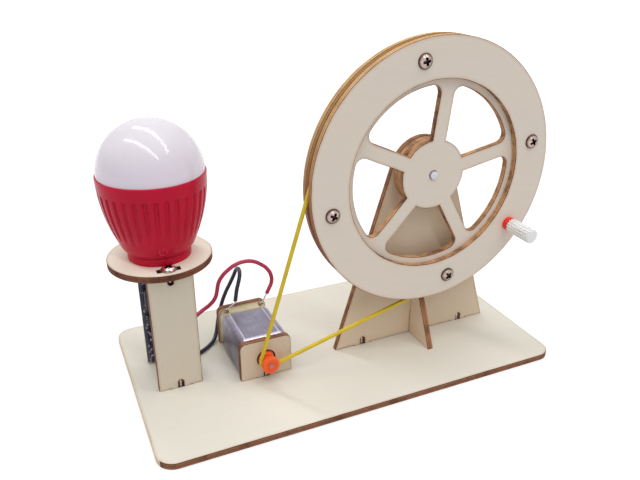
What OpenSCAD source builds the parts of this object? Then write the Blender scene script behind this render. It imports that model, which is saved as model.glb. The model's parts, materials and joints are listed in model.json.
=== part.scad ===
// Hand crank generator: a crank wheel of laser-cut plywood drives a small
// motor by a rubber belt, and the motor lights a lamp on a post.
// +X runs along the board to the wheel, +Y to the back, +Z up.
// The origin is the middle of the base board's underside.

/* [Base] */
// Length of the base board, along X
base_w = 200; // [170:1:260]
// Depth of the base board, along Y
base_d = 110; // [92:1:150]
// Corner radius of the base board
base_r = 8; // [2:0.5:15]
// Thickness of the plywood that every board is cut from
ply = 3; // [2.5:0.1:4]

/* [Stand] */
// Distance from the board's right end to the wheel's axle
stand_inset = 55.8; // [40:0.1:90]
// Y of the stand's front face
stand_y = -9; // [-20:0.5:5]
// Height of the axle above the base board
axle_h = 91; // [80:0.5:125]
// Width of the stand at its foot
stand_foot = 90; // [60:1:120]
// Radius of the stand's rounded head
stand_head_r = 16.5; // [10:0.5:22]
// Depth of the cross plate's foot in front of the stand
cross_front = 18.7; // [12:0.1:30]
// Height of the cross plate in front, under the belt
cross_front_h = 26; // [12:0.5:30]
// Height of the cross plate behind the stand
cross_rear_h = 38; // [20:1:60]
// How far the cross plate's edges lean back for each millimetre of height
cross_lean = 0.47; // [0.2:0.01:0.6]

/* [Wheel] */
// Outer radius of the two rim rings
wheel_r = 63.5; // [56:0.5:66]
// Radius of the hole in the rim rings
ring_in_r = 45; // [42:0.5:48]
// Depth of the belt groove between the rings
groove_d = 4.5; // [2.5:0.1:5]
// Outer radius of the spoke windows
window_r = 42; // [36:0.2:44]
// Radius of the round hub
hub_r = 16.6; // [12:0.2:20]
// Width of a spoke
spoke_w = 7.2; // [5:0.2:10]
// Number of spokes
spoke_n = 5; // [3:1:7]
// Corner radius of the spoke windows at the rim
window_fillet = 4; // [1:0.5:6]
// How far the wheel stands turned from its drawn position, degrees
wheel_turn = 11.3; // [0:0.1:72]
// Radius of the rim screws' and the crank's circle
rim_screw_r = 54.2; // [52:0.1:56]
// Diameter of the axle
axle_d = 4; // [3:0.1:5]
// Length of the axle that shows in front of the hub
axle_nose = 1; // [0.2:0.1:3]
// Diameter of the collar that keeps the axle in the stand
axle_collar_d = 10; // [8:0.5:14]
// Length of that collar
axle_collar_l = 4; // [3:0.5:8]

/* [Crank] */
// Diameter of the crank pin
crank_pin_d = 3; // [2:0.1:3.4]
// Diameter of the collar at the foot of the crank
crank_collar_d = 6.8; // [5.5:0.1:8]
// Length of the collar
crank_collar_l = 3; // [2:0.1:5]
// Diameter of the grip over its teeth
grip_d = 7.2; // [6:0.1:9]
// Length of the grip
grip_l = 15; // [8:0.5:30]
// Depth of the grip's teeth
grip_tooth = 0.6; // [0.3:0.1:0.8]
// Number of teeth round the grip
grip_tooth_n = 16; // [8:1:20]

/* [Belt] */
// Side of the belt's square section
belt_t = 1.6; // [1.2:0.1:2]
// How far the belt runs in front of the middle of the wheel's groove
belt_forward = 0.4; // [0:0.1:0.4]

/* [Motor] */
// Distance from the lamp post to the motor, centre to centre
motor_gap = 39.5; // [36:0.5:60]
// Width of the motor's can
can_w = 25; // [21:0.1:28]
// Height of the motor's can
can_h = 20; // [18:0.1:24]
// Length of the can
can_l = 26.3; // [22:0.1:32]
// Length of the plastic end cap behind the can
cap_l = 6.7; // [6:0.1:10]
// Width of the two motor plates
motor_plate_w = 25.4; // [25:0.1:32]
// Diameter of the hole in the motor plates
motor_hole_d = 9; // [8.8:0.1:10]
// Diameter of the motor's shaft
shaft_d = 2; // [1.5:0.1:2.3]
// Diameter of the pulley's flanges
pulley_d = 8.4; // [7:0.1:8.4]
// Diameter of the pulley at the bottom of its groove
pulley_core_d = 5; // [4:0.1:6]
// Width of the pulley's groove
pulley_groove = 3.4; // [3.2:0.1:4]
// Thickness of a pulley flange
pulley_flange = 2.2; // [1.2:0.1:3]
// How far the pulley reaches into the plate's hole
pulley_recess = 0.6; // [0.2:0.1:1.6]
// How far the middle of the pulley stands in front of the belt
pulley_forward = 0.6; // [0:0.1:0.6]

/* [Lamp post] */
// Distance from the board's left end to the middle of the post
post_inset = 20.6; // [14:0.1:40]
// Width of the post's planks
post_w = 20.4; // [18:0.1:28]
// Height of the post's planks, foot to shelf
post_h = 58; // [54:0.5:80]
// Y of the front plank's front face
post_y = -6.4; // [-12:0.1:0]
// Radius of the round lamp shelf
shelf_r = 23.5; // [22:0.1:34]

/* [Lamp] */
// Radius of the lamp's red housing at its rim
cup_rim_r = 23.7; // [22:0.1:28]
// Height of the housing
cup_h = 39.2; // [32:0.1:50]
// Radius of the curve of the housing's side
cup_curve_r = 76; // [70:1:120]
// Radius of the housing's foot
cup_foot_r = 14.2; // [13.6:0.1:17]
// Wall of the housing
cup_wall = 1.6; // [1.2:0.1:2.5]
// Number of grooves down the housing
cup_groove_n = 28; // [16:1:36]
// Width of a groove
cup_groove_w = 1.5; // [0.8:0.1:2]
// Depth of a groove
cup_groove_d = 0.7; // [0.3:0.1:0.9]
// Wall of the frosted dome
dome_wall = 1.5; // [1:0.1:2.5]
// Number of light chips on the lamp's board
led_n = 6; // [3:1:10]

/* [Screws and joints] */
// Diameter of the self-tapping screws
screw_d = 2.2; // [2:0.1:2.4]
// Diameter of the washer head
head_d = 7; // [5:0.1:7.4]
// Diameter of the flat head under the base
flat_head_d = 4.8; // [4.4:0.1:6]
// Width of the tabs that locate the boards
tab_w = 10; // [7:0.5:11]
// Depth of the screw slots in the boards' ends
slot_l = 4; // [3:0.1:5]

/* [Wires] */
// Diameter of the two motor wires
wire_d = 2; // [1.2:0.1:2.2]

/* [Hidden] */
$fn = 64;
// Clearance of a fixed fit, each side
fit = 0.05;
// Clearance of a turning fit, each side
run = 0.05;
// Gap between faces that pass each other
gap = 0.3;

// Places on the base board
base_z = ply;
post_x = -base_w / 2 + post_inset;
stand_x = base_w / 2 - stand_inset;
motor_x = post_x + motor_gap;
shelf_z = base_z + post_h;
lamp_z = shelf_z + ply;
spigot_d = 8.4;
head_clear = 0.2;
lamp_y = post_y + ply / 2 + head_d / 2 + head_clear + cup_foot_r;
rear_y = lamp_y + spigot_d / 2 + gap + head_d / 2 - ply / 2;
axle_z = base_z + axle_h;

// Layers of the wheel, from the stand forwards
spacer_y = stand_y - gap - 2 * ply;
disc_y = spacer_y - ply;
front_y = disc_y - ply;
belt_y = disc_y + ply / 2 - belt_forward;
disc_r = wheel_r - groove_d;
rim_clear = 1.5;
cross_top = min(cross_front_h, axle_h - wheel_r - rim_clear);
axle_collar_y = stand_y + ply + gap;
axle_tail = 0.8;
spoke_step = 360 / spoke_n;

// Motor, from its front plate backwards
pulley_l = pulley_groove + 2 * pulley_flange;
pulley_back = belt_y - pulley_forward + pulley_l / 2;
motor_y = pulley_back - pulley_recess;
can_y = motor_y + ply;
cap_y = can_y + can_l;
motor_rear_y = cap_y + cap_l;
motor_z = base_z + can_h / 2;
motor_plate_h = can_h + 0.2;
motor_plate_r = 3;
boss_d = motor_hole_d - 2 * fit;
boss_l = ply - pulley_recess - 0.5;
rear_boss_l = ply / 2 + 0.5;
can_wall = 0.8;
can_r = 4;
can_in = [can_w - 2 * can_wall, can_h - 2 * can_wall];
can_in_r = can_r - can_wall;
cap_w = can_w - 0.8;
cap_h = can_h - 0.8;
cap_wall = 1.2;
cap_in = cap_h - 2 * cap_wall;
cap_plug = 2;
bush_d = 4.4;
bush_l = 3;
bush_sink = 1.2;
shaft_nose = 0.4;
shaft_tail = 1.6;
armature_r = 7.2;
magnet_gap = 0.5;
magnet_in_r = armature_r + magnet_gap;
magnet_clear = 0.1;
magnet_out = can_in - [2, 2] * magnet_clear;
core_l = 12;
core_y = can_y + 6.5;
arm_w = 3;
core_hub_r = 3;
shoe_in_r = 5.7;
arms = [90, 210, 330];
coil_over = 1.5;
coil_w = 5.8;
coil_clear = 0.2;
commutator_d = 5;
commutator_l = 4;
commutator_y = cap_y + 0.4;
brush_w = 2;
terminal_t = 0.4;
terminal_w = 2.4;
terminal_y = cap_y + 2.2;
terminal_up = 1;
lug_l = 2.6;
lug_z = can_h / 2 + cap_h / 2 + terminal_up;

// Belt
belt_wheel_r = disc_r + gap;
belt_pulley_r = pulley_core_d / 2 + gap;
belt_span = norm([stand_x - motor_x, axle_z - motor_z]);
belt_aim = atan2(axle_z - motor_z, stand_x - motor_x);
belt_open = asin((belt_wheel_r - belt_pulley_r) / belt_span);

// Crank
crank_turn = -46;
crank_r = rim_screw_r + 0.6;
crank_head_d = 5.5;
crank_head_h = 1.8;
grip_end = 2;

// Screws
head_flange = 0.7;
head_h = 2;
cross_w = 0.9;
screw_point = 1;
cone_foot = 0.72;
cone_top = 0.5;
flat_head_h = 1.4;
flat_sink = 0.1;
slot_w = screw_d + 0.4;
tip_gap = 0.4;
stub_l = ply - flat_sink - flat_head_h - 0.1;
stand_tab_x = stand_foot / 2 - 15.5;
base_spots = [
    [post_x, post_y], [post_x, rear_y],
    [stand_x - stand_tab_x, stand_y], [stand_x + stand_tab_x, stand_y],
    [motor_x, motor_y], [motor_x, motor_rear_y]
];
shelf_spots = [[post_x, post_y], [post_x, rear_y]];

// Lamp
cup_foot_h = 3.6;
cup_step_h = 5.6;
cup_step_r = cup_foot_r + 0.7;
cup_floor = 1.6;
cup_band_h = 5.5;
cup_foot_wall = 1.8;
spigot_bore = 4.6;
spigot_drop = 2;
rim_z = lamp_z + cup_h;
dome_r = cup_rim_r - 0.6;
dome_lip = 3;
led_board_r = 20;
led_board_t = 1.2;
led_board_z = rim_z - 7;
led_ring_r = 11;
led_size = [3.5, 2.8, 0.9];
led_ledge = 1.6;
lead_d = 1.2;

// Circuit board
tape_t = 0.8;
pcb_t = 1.2;
pcb_w = 19.8;
pcb_h = 48;
pcb_lift = 1;
pcb_y = rear_y - tape_t - pcb_t;
pcb_x = post_x - 0.9;
pcb_z = base_z + pcb_lift;

// Parts on the circuit board: place from its middle and foot, then size
chip_at = [-4.5, 24];
chip_size = [6, 5, 1.6];
coil_at = [-4.5, 36];
coil_size = [7.4, 10.5, 4];
cap_at = [2.6, 36];
cap_size = [6.3, 11];
diode_x = [-4.5, 3];
diode_z = [13, 16.5];
diode_size = [4.6, 2.4, 2];
solder_size = [2, 1, 0.8];
solder_at = [
    [-8.2, 1.8], [-8.2, 6], [-8.2, 9.5], [-8.2, 20],
    [-4.6, 2.2], [-8.2, 29.2], [6.6, 28], [3, 28]
];

// Wire routes: X from the motor's middle, Y, and height above the base
red_route = [
    [-40, 17.5, 21], [-40, 16, 21], [-39.6, 14.1, 21], [-38.5, 12.5, 21],
    [-36.9, 11.4, 21.1], [-35, 11, 21.2], [-32.6, 11.5, 21.4], [-30, 12.8, 21.7],
    [-27.2, 14.6, 22.1], [-24.2, 16.4, 22.8], [-20.8, 17.7, 24], [-17, 18, 26.1],
    [-14.3, 18, 29.2], [-13.1, 18, 33.1], [-12.2, 18, 36.9], [-10.2, 18, 40.2],
    [-7, 18, 43], [-3, 18, 45.2], [1.5, 18, 46], [6, 18, 45.2], [10, 18, 42.8],
    [13.4, 18, 39.4], [15.3, 18, 35.4], [15.4, 18, 31.6], [14, 18, 28.2], [12.6, 18, 25.6]
];
black_route = [
    [-40, 17.5, 9.6], [-40, 16, 9.6], [-39.7, 14.1, 9.35], [-38.9, 12.5, 8.6],
    [-37.7, 11.4, 7.55], [-36.2, 11, 6.3], [-34, 11.2, 4.5], [-31.6, 11.9, 3],
    [-29, 13.1, 1.9], [-25.8, 14.9, 1.3], [-22, 17.3, 1.1], [-18.4, 20.2, 1.1],
    [-15.4, 23.2, 1.6], [-13.3, 25.9, 3.3], [-12, 27.6, 6.4], [-11, 28.4, 10.2],
    [-9.7, 28.7, 14.8], [-8.2, 28.8, 19.6], [-5.9, 28.8, 25], [-3.2, 28.5, 30.2],
    [-1.2, 27.8, 34.8], [-0.5, 27.1, 37.2], [-0.05, 25.4, 39], [0, 22.9, 39.7],
    [-0.4, 20.5, 39], [-1.2, 18.7, 37.2], [-2.1, 18, 34.8], [-3, 18, 31.6],
    [-3.6, 18, 28.4], [-4.2, 18, 25]
];
red_tip = [[12.6, 18, 25.6], [10.1, 18, lug_z + 0.3]];
black_tip = [[-4.2, 18, 25], [-4.4, 18, 23.8], [-9, 18, lug_z + 0.5]];
tip_d = 0.8;
lead_out_z = shelf_z - spigot_drop - 1;
lead_pad_z = pcb_z + pcb_h - 2;
lead_bend = pcb_y - 1 - lamp_y;
lead_route = concat(
    [[lamp_y, led_board_z], [lamp_y, lamp_z + 12], [lamp_y, lamp_z]],
    [for (a = [0 : 22.5 : 90])
        [lamp_y + lead_bend * (1 - cos(a)), lead_out_z - (lead_out_z - lead_pad_z) * sin(a)]],
    [[pcb_y, lead_pad_z]]);

// Points of an arc about c, from angle a0 to a1
function arc(c, r, a0, a1, n) =
    [for (i = [0 : n]) let (a = a0 + (a1 - a0) * i / n) c + r * [cos(a), sin(a)]];

// Outline of a rectangle whose corners have radii r: right front first, anticlockwise
function rounded(w, d, r) = concat(
    arc([w / 2 - r, -d / 2 + r], r, -90, 0, 12), arc([w / 2 - r, d / 2 - r], r, 0, 90, 12),
    arc([-w / 2 + r, d / 2 - r], r, 90, 180, 12), arc([-w / 2 + r, -d / 2 + r], r, 180, 270, 12));

// Wedge along X from the middle of a round piece of radius r to outside it
function wedge(r) = [[0, 0], [r, -1.2 * r], [1.5 * r, 0], [r, 1.2 * r]];

// Angle between a pulley's tangent point and the line to the other pulley
function tangent_turn(side) = belt_aim + side * (90 + belt_open);

// Outline of the belt, at a distance out from its inner face
function belt_outline(out) = concat(
    arc([stand_x, axle_z], belt_wheel_r + out, tangent_turn(-1), tangent_turn(1), 90),
    arc([motor_x, motor_z], belt_pulley_r + out, tangent_turn(1), tangent_turn(-1) + 360, 24));

function unit(v) = v / norm(v);
function place(p) = [motor_x + p[0], p[1], base_z + p[2]];

// Direction of a route at its point i
function heading(pts, i) = unit(pts[min(i + 1, len(pts) - 1)] - pts[max(i - 1, 0)]);

// A side vector that is carried along the route without twisting
function side_vec(pts, i) = i == 0
    ? unit(cross(heading(pts, 0), [0.31, 0.2, 0.93]))
    : let (h = heading(pts, i), s = side_vec(pts, i - 1)) unit(s - (s * h) * h);

// Round tube of a few flat sides along a route
module tube(pts, d, sides = 8) {
    n = len(pts);
    rings = [for (i = [0 : n - 1]) let (h = heading(pts, i), s = side_vec(pts, i), t = cross(h, s))
        for (k = [0 : sides - 1]) let (a = 360 * k / sides) pts[i] + d / 2 * (s * cos(a) + t * sin(a))];
    walls = [for (i = [0 : n - 2]) for (k = [0 : sides - 1]) let (j = (k + 1) % sides, a = i * sides)
        for (f = [[a + k, a + sides + k, a + j], [a + j, a + sides + k, a + sides + j]]) f];
    start = [for (k = [1 : sides - 2]) [0, k, k + 1]];
    last = (n - 1) * sides;
    finish = [for (k = [1 : sides - 2]) [last, last + k + 1, last + k]];
    polyhedron(points = rings, faces = concat(walls, start, finish), convexity = 6);
}

// Upright board drawn in X and Z, its front face at y
module upright(y, t = ply) {
    translate([0, y + t, 0]) rotate([90, 0, 0]) linear_extrude(t) children();
}

// Round bar or hole along Y
module bar_y(x, z, y0, y1, d) {
    translate([x, y1, z]) rotate([90, 0, 0]) cylinder(h = y1 - y0, d = d);
}

// Screw slot that opens at the board's end, through its tab, and rounds off inside
module screw_slot(l) {
    translate([-slot_w / 2, -ply - 1]) square([slot_w, ply + 1 + l - slot_w / 2]);
    translate([0, l - slot_w / 2]) circle(d = slot_w);
}

// Stub tab of an upright board, down into the base
module stub_tab() {
    translate([-tab_w / 2, -stub_l]) square([tab_w, stub_l + 0.01]);
}

// Cross recess of a screw head, at depth below z = 0
module cross_recess(depth) {
    for (a = [0, 90]) rotate([0, 0, a])
        translate([-head_d / 4, -cross_w / 2, -depth]) cube([head_d / 2, cross_w, depth + 1]);
}

// Washer-head screw, head up, seated at z = 0
module washer_screw(l) {
    difference() {
        union() {
            cylinder(h = head_flange, d = head_d);
            translate([0, 0, head_flange])
                cylinder(h = head_h - head_flange, d1 = head_d * cone_foot, d2 = head_d * cone_top);
            translate([0, 0, screw_point - l]) cylinder(h = l - screw_point, d = screw_d);
            translate([0, 0, -l]) cylinder(h = screw_point, d1 = screw_d / 4, d2 = screw_d);
        }
        translate([0, 0, head_h]) cross_recess(1);
    }
}

// Flat-head screw, head down, its face at z = 0
module flat_screw(l) {
    difference() {
        union() {
            cylinder(h = flat_head_h, d1 = flat_head_d, d2 = screw_d);
            cylinder(h = l - screw_point, d = screw_d);
            translate([0, 0, l - screw_point]) cylinder(h = screw_point, d1 = screw_d, d2 = screw_d / 4);
        }
        mirror([0, 0, 1]) cross_recess(0.8);
    }
}

// Hole for a tab, through a flat board that starts at z
module mortise(p, z) {
    translate([p[0] - tab_w / 2 - fit, p[1] - fit, z - 1]) cube([tab_w + 2 * fit, ply + 2 * fit, ply + 2]);
}

module base_plate() {
    color("#e7dfcd") difference() {
        linear_extrude(ply) polygon(rounded(base_w, base_d, base_r));
        for (p = base_spots) {
            mortise(p, 0);
            translate([p[0], p[1] + ply / 2, -1]) cylinder(h = 1 + flat_sink, d = flat_head_d + 2 * fit);
            translate([p[0], p[1] + ply / 2, flat_sink])
                cylinder(h = flat_head_h, d1 = flat_head_d + 2 * fit, d2 = screw_d + 2 * fit);
        }
    }
}

module stand_main_plate() {
    foot = stand_foot / 2;
    touch = acos(stand_head_r / norm([foot, axle_h])) - atan2(axle_h, foot);
    color("#d6cbb8") difference() {
        translate([stand_x, 0, base_z]) upright(stand_y) difference() {
            union() {
                polygon(concat([[-foot, 0], [foot, 0]],
                    arc([0, axle_h], stand_head_r, touch, 180 - touch, 24)));
                for (s = [-1, 1]) translate([s * stand_tab_x, 0]) stub_tab();
            }
            for (s = [-1, 1]) translate([s * stand_tab_x, 0]) screw_slot(slot_l);
            translate([-ply / 2 - fit, -1]) square([ply + 2 * fit, 1 + cross_top / 2]);
        }
        bar_y(stand_x, axle_z, stand_y - 1, stand_y + ply + 1, axle_d + 2 * run);
    }
}

module stand_cross_plate() {
    y0 = stand_y - cross_front;
    y1 = stand_y + ply + cross_front;
    color("#d6cbb8") translate([stand_x - ply / 2, 0, base_z])
        rotate([90, 0, 90]) linear_extrude(ply) difference() {
            polygon([
                [y0, 0], [y1, 0],
                [y1 - cross_lean * cross_rear_h, cross_rear_h], [stand_y, cross_rear_h],
                [stand_y, cross_top], [y0 + cross_lean * cross_top, cross_top]
            ]);
            translate([stand_y - fit, cross_top / 2]) square([ply + 2 * fit, cross_rear_h]);
        }
}

module post_plank(y) {
    translate([post_x, 0, base_z]) upright(y) difference() {
        union() {
            translate([-post_w / 2, 0]) square([post_w, post_h]);
            stub_tab();
            translate([-tab_w / 2, post_h - 0.01]) square([tab_w, ply + 0.01]);
        }
        screw_slot(slot_l);
        translate([0, post_h]) mirror([0, 1]) screw_slot(slot_l);
    }
}

module post_front_plank() { color("#c9bca4") post_plank(post_y); }

module post_rear_plank() { color("#c9bca4") post_plank(rear_y); }

module lamp_shelf() {
    color("#ddd2be") difference() {
        translate([post_x, lamp_y, shelf_z]) cylinder(h = ply, r = shelf_r);
        for (p = shelf_spots) mortise(p, shelf_z);
        translate([post_x, lamp_y, shelf_z - 1]) cylinder(h = ply + 2, d = spigot_d + 2 * fit);
    }
}

module motor_plate(y) {
    w = motor_plate_w;
    h = motor_plate_h;
    r = motor_plate_r;
    difference() {
        translate([motor_x, 0, base_z]) upright(y) difference() {
            union() {
                polygon(concat([[-w / 2, 0], [w / 2, 0]], arc([w / 2 - r, h - r], r, 0, 90, 10),
                    arc([-w / 2 + r, h - r], r, 90, 180, 10)));
                stub_tab();
            }
            screw_slot(slot_l);
        }
        bar_y(motor_x, motor_z, y - 1, y + ply + 1, motor_hole_d);
    }
}

module motor_front_plate() { color("#d3c4a8") motor_plate(motor_y); }

module motor_rear_plate() { color("#d3c4a8") motor_plate(motor_rear_y); }

module base_screws() {
    color("#a8a8ac") for (p = base_spots)
        translate([p[0], p[1] + ply / 2, flat_sink]) flat_screw(ply - flat_sink + slot_l - tip_gap);
}

module shelf_screws() {
    color("#b8b8be") for (p = shelf_spots)
        translate([p[0], p[1] + ply / 2, lamp_z]) washer_screw(ply + slot_l - tip_gap);
}

// Half section of the housing's side: the curve with radius r, up to the rim
module cup_side(r, z0) {
    intersection() {
        translate([cup_rim_r - cup_curve_r, cup_h]) circle(r = r, $fn = 180);
        translate([0, z0]) square([cup_rim_r + 1, cup_h - z0]);
    }
}

module cup_section() {
    inner_floor = cup_foot_h + cup_floor;
    difference() {
        union() {
            cup_side(cup_curve_r, cup_step_h);
            square([cup_foot_r, cup_foot_h]);
            translate([0, cup_foot_h - 0.1]) square([cup_foot_r - 0.5, 1]);
            translate([0, cup_foot_h + 0.5]) square([cup_step_r, cup_step_h - cup_foot_h]);
        }
        cup_side(cup_curve_r - cup_wall, inner_floor + 2);
        translate([0, inner_floor]) square([cup_foot_r - 2.6, 3]);
        translate([0, -1]) square([cup_foot_r - cup_foot_wall, cup_foot_h]);
    }
    difference() {
        intersection() {
            translate([0, led_board_z - lamp_z - led_ledge]) square([cup_rim_r, led_ledge]);
            cup_side(cup_curve_r - cup_wall / 2, cup_step_h);
        }
        square([led_board_r - led_ledge, cup_h]);
    }
    translate([spigot_bore / 2, -ply - spigot_drop])
        square([(spigot_d - spigot_bore) / 2, ply + spigot_drop + cup_foot_h]);
}

module lamp_housing() {
    groove_z0 = 9;
    groove_z1 = cup_h - cup_band_h;
    color("#b3243a") translate([post_x, lamp_y, lamp_z]) difference() {
        rotate_extrude($fn = 128) difference() {
            cup_section();
            translate([-1, -ply - spigot_drop - 1]) square([1 + spigot_bore / 2, cup_h]);
        }
        for (i = [0 : cup_groove_n - 1]) rotate([0, 0, 360 * i / cup_groove_n]) intersection() {
            rotate_extrude($fn = 128) difference() {
                translate([cup_foot_r - 2, groove_z0]) square([cup_rim_r, groove_z1 - groove_z0]);
                translate([cup_rim_r - cup_curve_r, cup_h]) circle(r = cup_curve_r - cup_groove_d, $fn = 180);
            }
            translate([0, -cup_groove_w / 2, 0]) cube([cup_rim_r + 2, cup_groove_w, cup_h]);
        }
    }
}

module lamp_diffuser() {
    lip_r = cup_rim_r - cup_wall - 0.15;
    color("#ece8ee") translate([post_x, lamp_y, rim_z]) rotate_extrude($fn = 128) {
        intersection() {
            difference() {
                circle(r = dome_r);
                circle(r = dome_r - dome_wall);
            }
            square([dome_r + 1, dome_r + 1]);
        }
        translate([lip_r - dome_wall, -dome_lip]) square([dome_wall, dome_lip + 0.6]);
    }
}

module led_board() {
    color("#dfe3e6") translate([post_x, lamp_y, led_board_z]) cylinder(h = led_board_t, r = led_board_r);
}

module led_chips() {
    color("#f3e58c") for (i = [0 : led_n - 1])
        translate([post_x, lamp_y, led_board_z + led_board_t]) rotate([0, 0, 360 * i / led_n])
            translate([led_ring_r - led_size[0] / 2, -led_size[1] / 2, 0]) cube(led_size);
}

module lamp_leads() {
    color("#b8324a") for (s = [-1, 1])
        tube([for (p = lead_route) [post_x + s, p[0], p[1]]], lead_d);
}

module circuit_board() {
    color("#1c2350") translate([pcb_x - pcb_w / 2, pcb_y, pcb_z]) cube([pcb_w, pcb_t, pcb_h]);
}

module board_tape() {
    color("#d8d8d0") translate([pcb_x - pcb_w / 2 + 1, pcb_y + pcb_t, pcb_z + 2])
        cube([pcb_w - 2, tape_t, pcb_h - 4]);
}

// Block on the front of the circuit board: its middle at a place, standing size[2] proud
module board_block(x, z, size) {
    translate([pcb_x + x - size[0] / 2, pcb_y - size[2], pcb_z + z - size[1] / 2])
        cube([size[0], size[2], size[1]]);
}

module board_chip() { color("#2a2a2e") board_block(chip_at[0], chip_at[1], chip_size); }

module board_inductor() {
    color("#23243a") upright(pcb_y - coil_size[2], coil_size[2])
        translate([pcb_x + coil_at[0], pcb_z + coil_at[1]]) polygon(rounded(coil_size[0], coil_size[1], 1.5));
}

module board_capacitor() {
    color("#8f939c") bar_y(pcb_x + cap_at[0], pcb_z + cap_at[1], pcb_y - cap_size[1], pcb_y, cap_size[0]);
}

module board_diodes() {
    color("#3b3034") for (x = diode_x) for (z = diode_z) board_block(x, z, diode_size);
}

module board_solder() {
    color("#c9ccd2") for (p = solder_at) translate([pcb_x + p[0], pcb_y, pcb_z + p[1]])
        rotate([90, 0, 0]) cylinder(h = solder_size[2], d1 = solder_size[0], d2 = solder_size[1]);
}

module motor_can() {
    color("#9c9caa") translate([motor_x, 0, motor_z]) difference() {
        union() {
            upright(can_y, can_l) polygon(rounded(can_w, can_h, can_r));
            bar_y(0, 0, can_y - boss_l, can_y + 0.1, boss_d);
        }
        upright(can_y + can_wall, can_l) polygon(rounded(can_in[0], can_in[1], can_in_r));
        bar_y(0, 0, can_y - ply, can_y + ply, bush_d + 2 * fit);
    }
}

module motor_magnets() {
    color("#4a4a50") translate([motor_x, 0, motor_z]) upright(can_y + 3.5, core_l + 6)
        for (s = [-1, 1]) scale([s, 1]) intersection() {
            difference() {
                polygon(rounded(magnet_out[0], magnet_out[1], can_in_r));
                circle(r = magnet_in_r);
            }
            polygon(wedge(magnet_out[0] / 2));
        }
}

module bush(y) {
    difference() {
        bar_y(motor_x, motor_z, y, y + bush_l, bush_d);
        bar_y(motor_x, motor_z, y - 1, y + bush_l + 1, shaft_d + 2 * run);
    }
}

module motor_front_bush() { color("#b08d4f") bush(can_y - boss_l); }

module motor_rear_bush() { color("#b08d4f") bush(motor_rear_y - bush_sink); }

module motor_end_cap() {
    plug = can_in - [2, 2] * fit;
    color("#e4ddc8") translate([motor_x, 0, motor_z]) difference() {
        union() {
            upright(cap_y, cap_l) polygon(rounded(cap_w, cap_h, can_r));
            upright(cap_y - cap_plug, cap_plug + 0.1) polygon(rounded(plug[0], plug[1], can_in_r));
            bar_y(0, 0, motor_rear_y - 0.1, motor_rear_y + rear_boss_l, boss_d);
        }
        upright(cap_y - cap_plug - 1, cap_plug + 1 + cap_l - cap_wall) square(cap_in, center = true);
        bar_y(0, 0, motor_rear_y - ply, motor_rear_y + 2 * ply, bush_d + 2 * fit);
        for (s = [-1, 1]) translate([s * (cap_in - terminal_t) / 2, terminal_y + terminal_w / 2, cap_h / 2])
            cube([terminal_t + 2 * fit, terminal_w + 2 * fit, 4 * cap_wall], center = true);
    }
}

module motor_brushes() {
    inner = commutator_d / 2 + 0.1;
    outer = cap_in / 2 - terminal_t;
    mid = terminal_y + terminal_w / 2;
    color("#3a3a3e") for (s = [-1, 1]) translate([motor_x + s * (inner + outer) / 2, mid, motor_z])
        cube([outer - inner, brush_w, brush_w], center = true);
}

module motor_terminals() {
    inner = cap_in / 2 - terminal_t;
    top = cap_h / 2 + terminal_up;
    color("#c8b478") translate([motor_x, terminal_y, motor_z]) for (s = [0, 1]) mirror([s, 0, 0]) {
        translate([inner, 0, -brush_w / 2]) cube([terminal_t, terminal_w, top + brush_w / 2]);
        translate([inner, 0, top - terminal_t]) cube([lug_l, terminal_w, terminal_t]);
    }
}

module red_wire() { color("#b5384f") tube([for (p = red_route) place(p)], wire_d); }

module black_wire() { color("#2c2c38") tube([for (p = black_route) place(p)], wire_d); }

module red_wire_tip() { color("#c4c4c8") tube([for (p = red_tip) place(p)], tip_d); }

module black_wire_tip() { color("#c4c4c8") tube([for (p = black_tip) place(p)], tip_d); }

module drive_belt() {
    color("#cbb53a") upright(belt_y - belt_t / 2, belt_t) difference() {
        polygon(belt_outline(belt_t));
        polygon(belt_outline(0));
    }
}

module motor_shaft() {
    front = pulley_back - pulley_l - shaft_nose;
    color("#c2c4c8") bar_y(motor_x, motor_z, front, motor_rear_y + shaft_tail, shaft_d);
}

module motor_armature() {
    color("#77777c") difference() {
        translate([motor_x, 0, motor_z]) upright(core_y, core_l) {
            circle(r = core_hub_r);
            for (a = arms) rotate(a) {
                translate([0, -arm_w / 2]) square([shoe_in_r + 0.4, arm_w]);
                intersection() {
                    difference() {
                        circle(r = armature_r);
                        circle(r = shoe_in_r);
                    }
                    polygon(wedge(armature_r));
                }
            }
        }
        bar_y(motor_x, motor_z, core_y - 1, core_y + core_l + 1, shaft_d + 2 * fit);
    }
}

module motor_windings() {
    r0 = core_hub_r + coil_clear;
    r1 = sqrt(pow(shoe_in_r - coil_clear, 2) - pow(coil_w / 2, 2));
    color("#b4713a") translate([motor_x, core_y - coil_over, motor_z]) for (a = arms)
        rotate([0, -a, 0]) difference() {
            translate([r0, 0, -coil_w / 2]) cube([r1 - r0, core_l + 2 * coil_over, coil_w]);
            translate([0, coil_over - fit, -arm_w / 2 - fit])
                cube([shoe_in_r, core_l + 2 * fit, arm_w + 2 * fit]);
        }
}

module motor_commutator() {
    color("#b9803f") difference() {
        bar_y(motor_x, motor_z, commutator_y, commutator_y + commutator_l, commutator_d);
        bar_y(motor_x, motor_z, cap_y - 1, motor_rear_y, shaft_d + 2 * fit);
    }
}

module motor_pulley() {
    rim = pulley_d / 2;
    core = pulley_core_d / 2;
    bore = shaft_d / 2 + fit;
    color("#f2672e") translate([motor_x, pulley_back, motor_z]) rotate([90, 0, 0]) rotate_extrude()
        polygon([
            [bore, 0], [rim, 0], [rim, pulley_flange], [core, pulley_flange + 0.2],
            [core, pulley_l - pulley_flange - 0.2], [rim, pulley_l - pulley_flange],
            [rim, pulley_l], [bore, pulley_l]
        ]);
}

// Hole through a board of the wheel, at radius r and angle a, for a pin of diameter d
module rim_hole(y, r, a, d) {
    bar_y(r * cos(a), r * sin(a), y - 1, y + ply + 1, d + 2 * fit);
}

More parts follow.
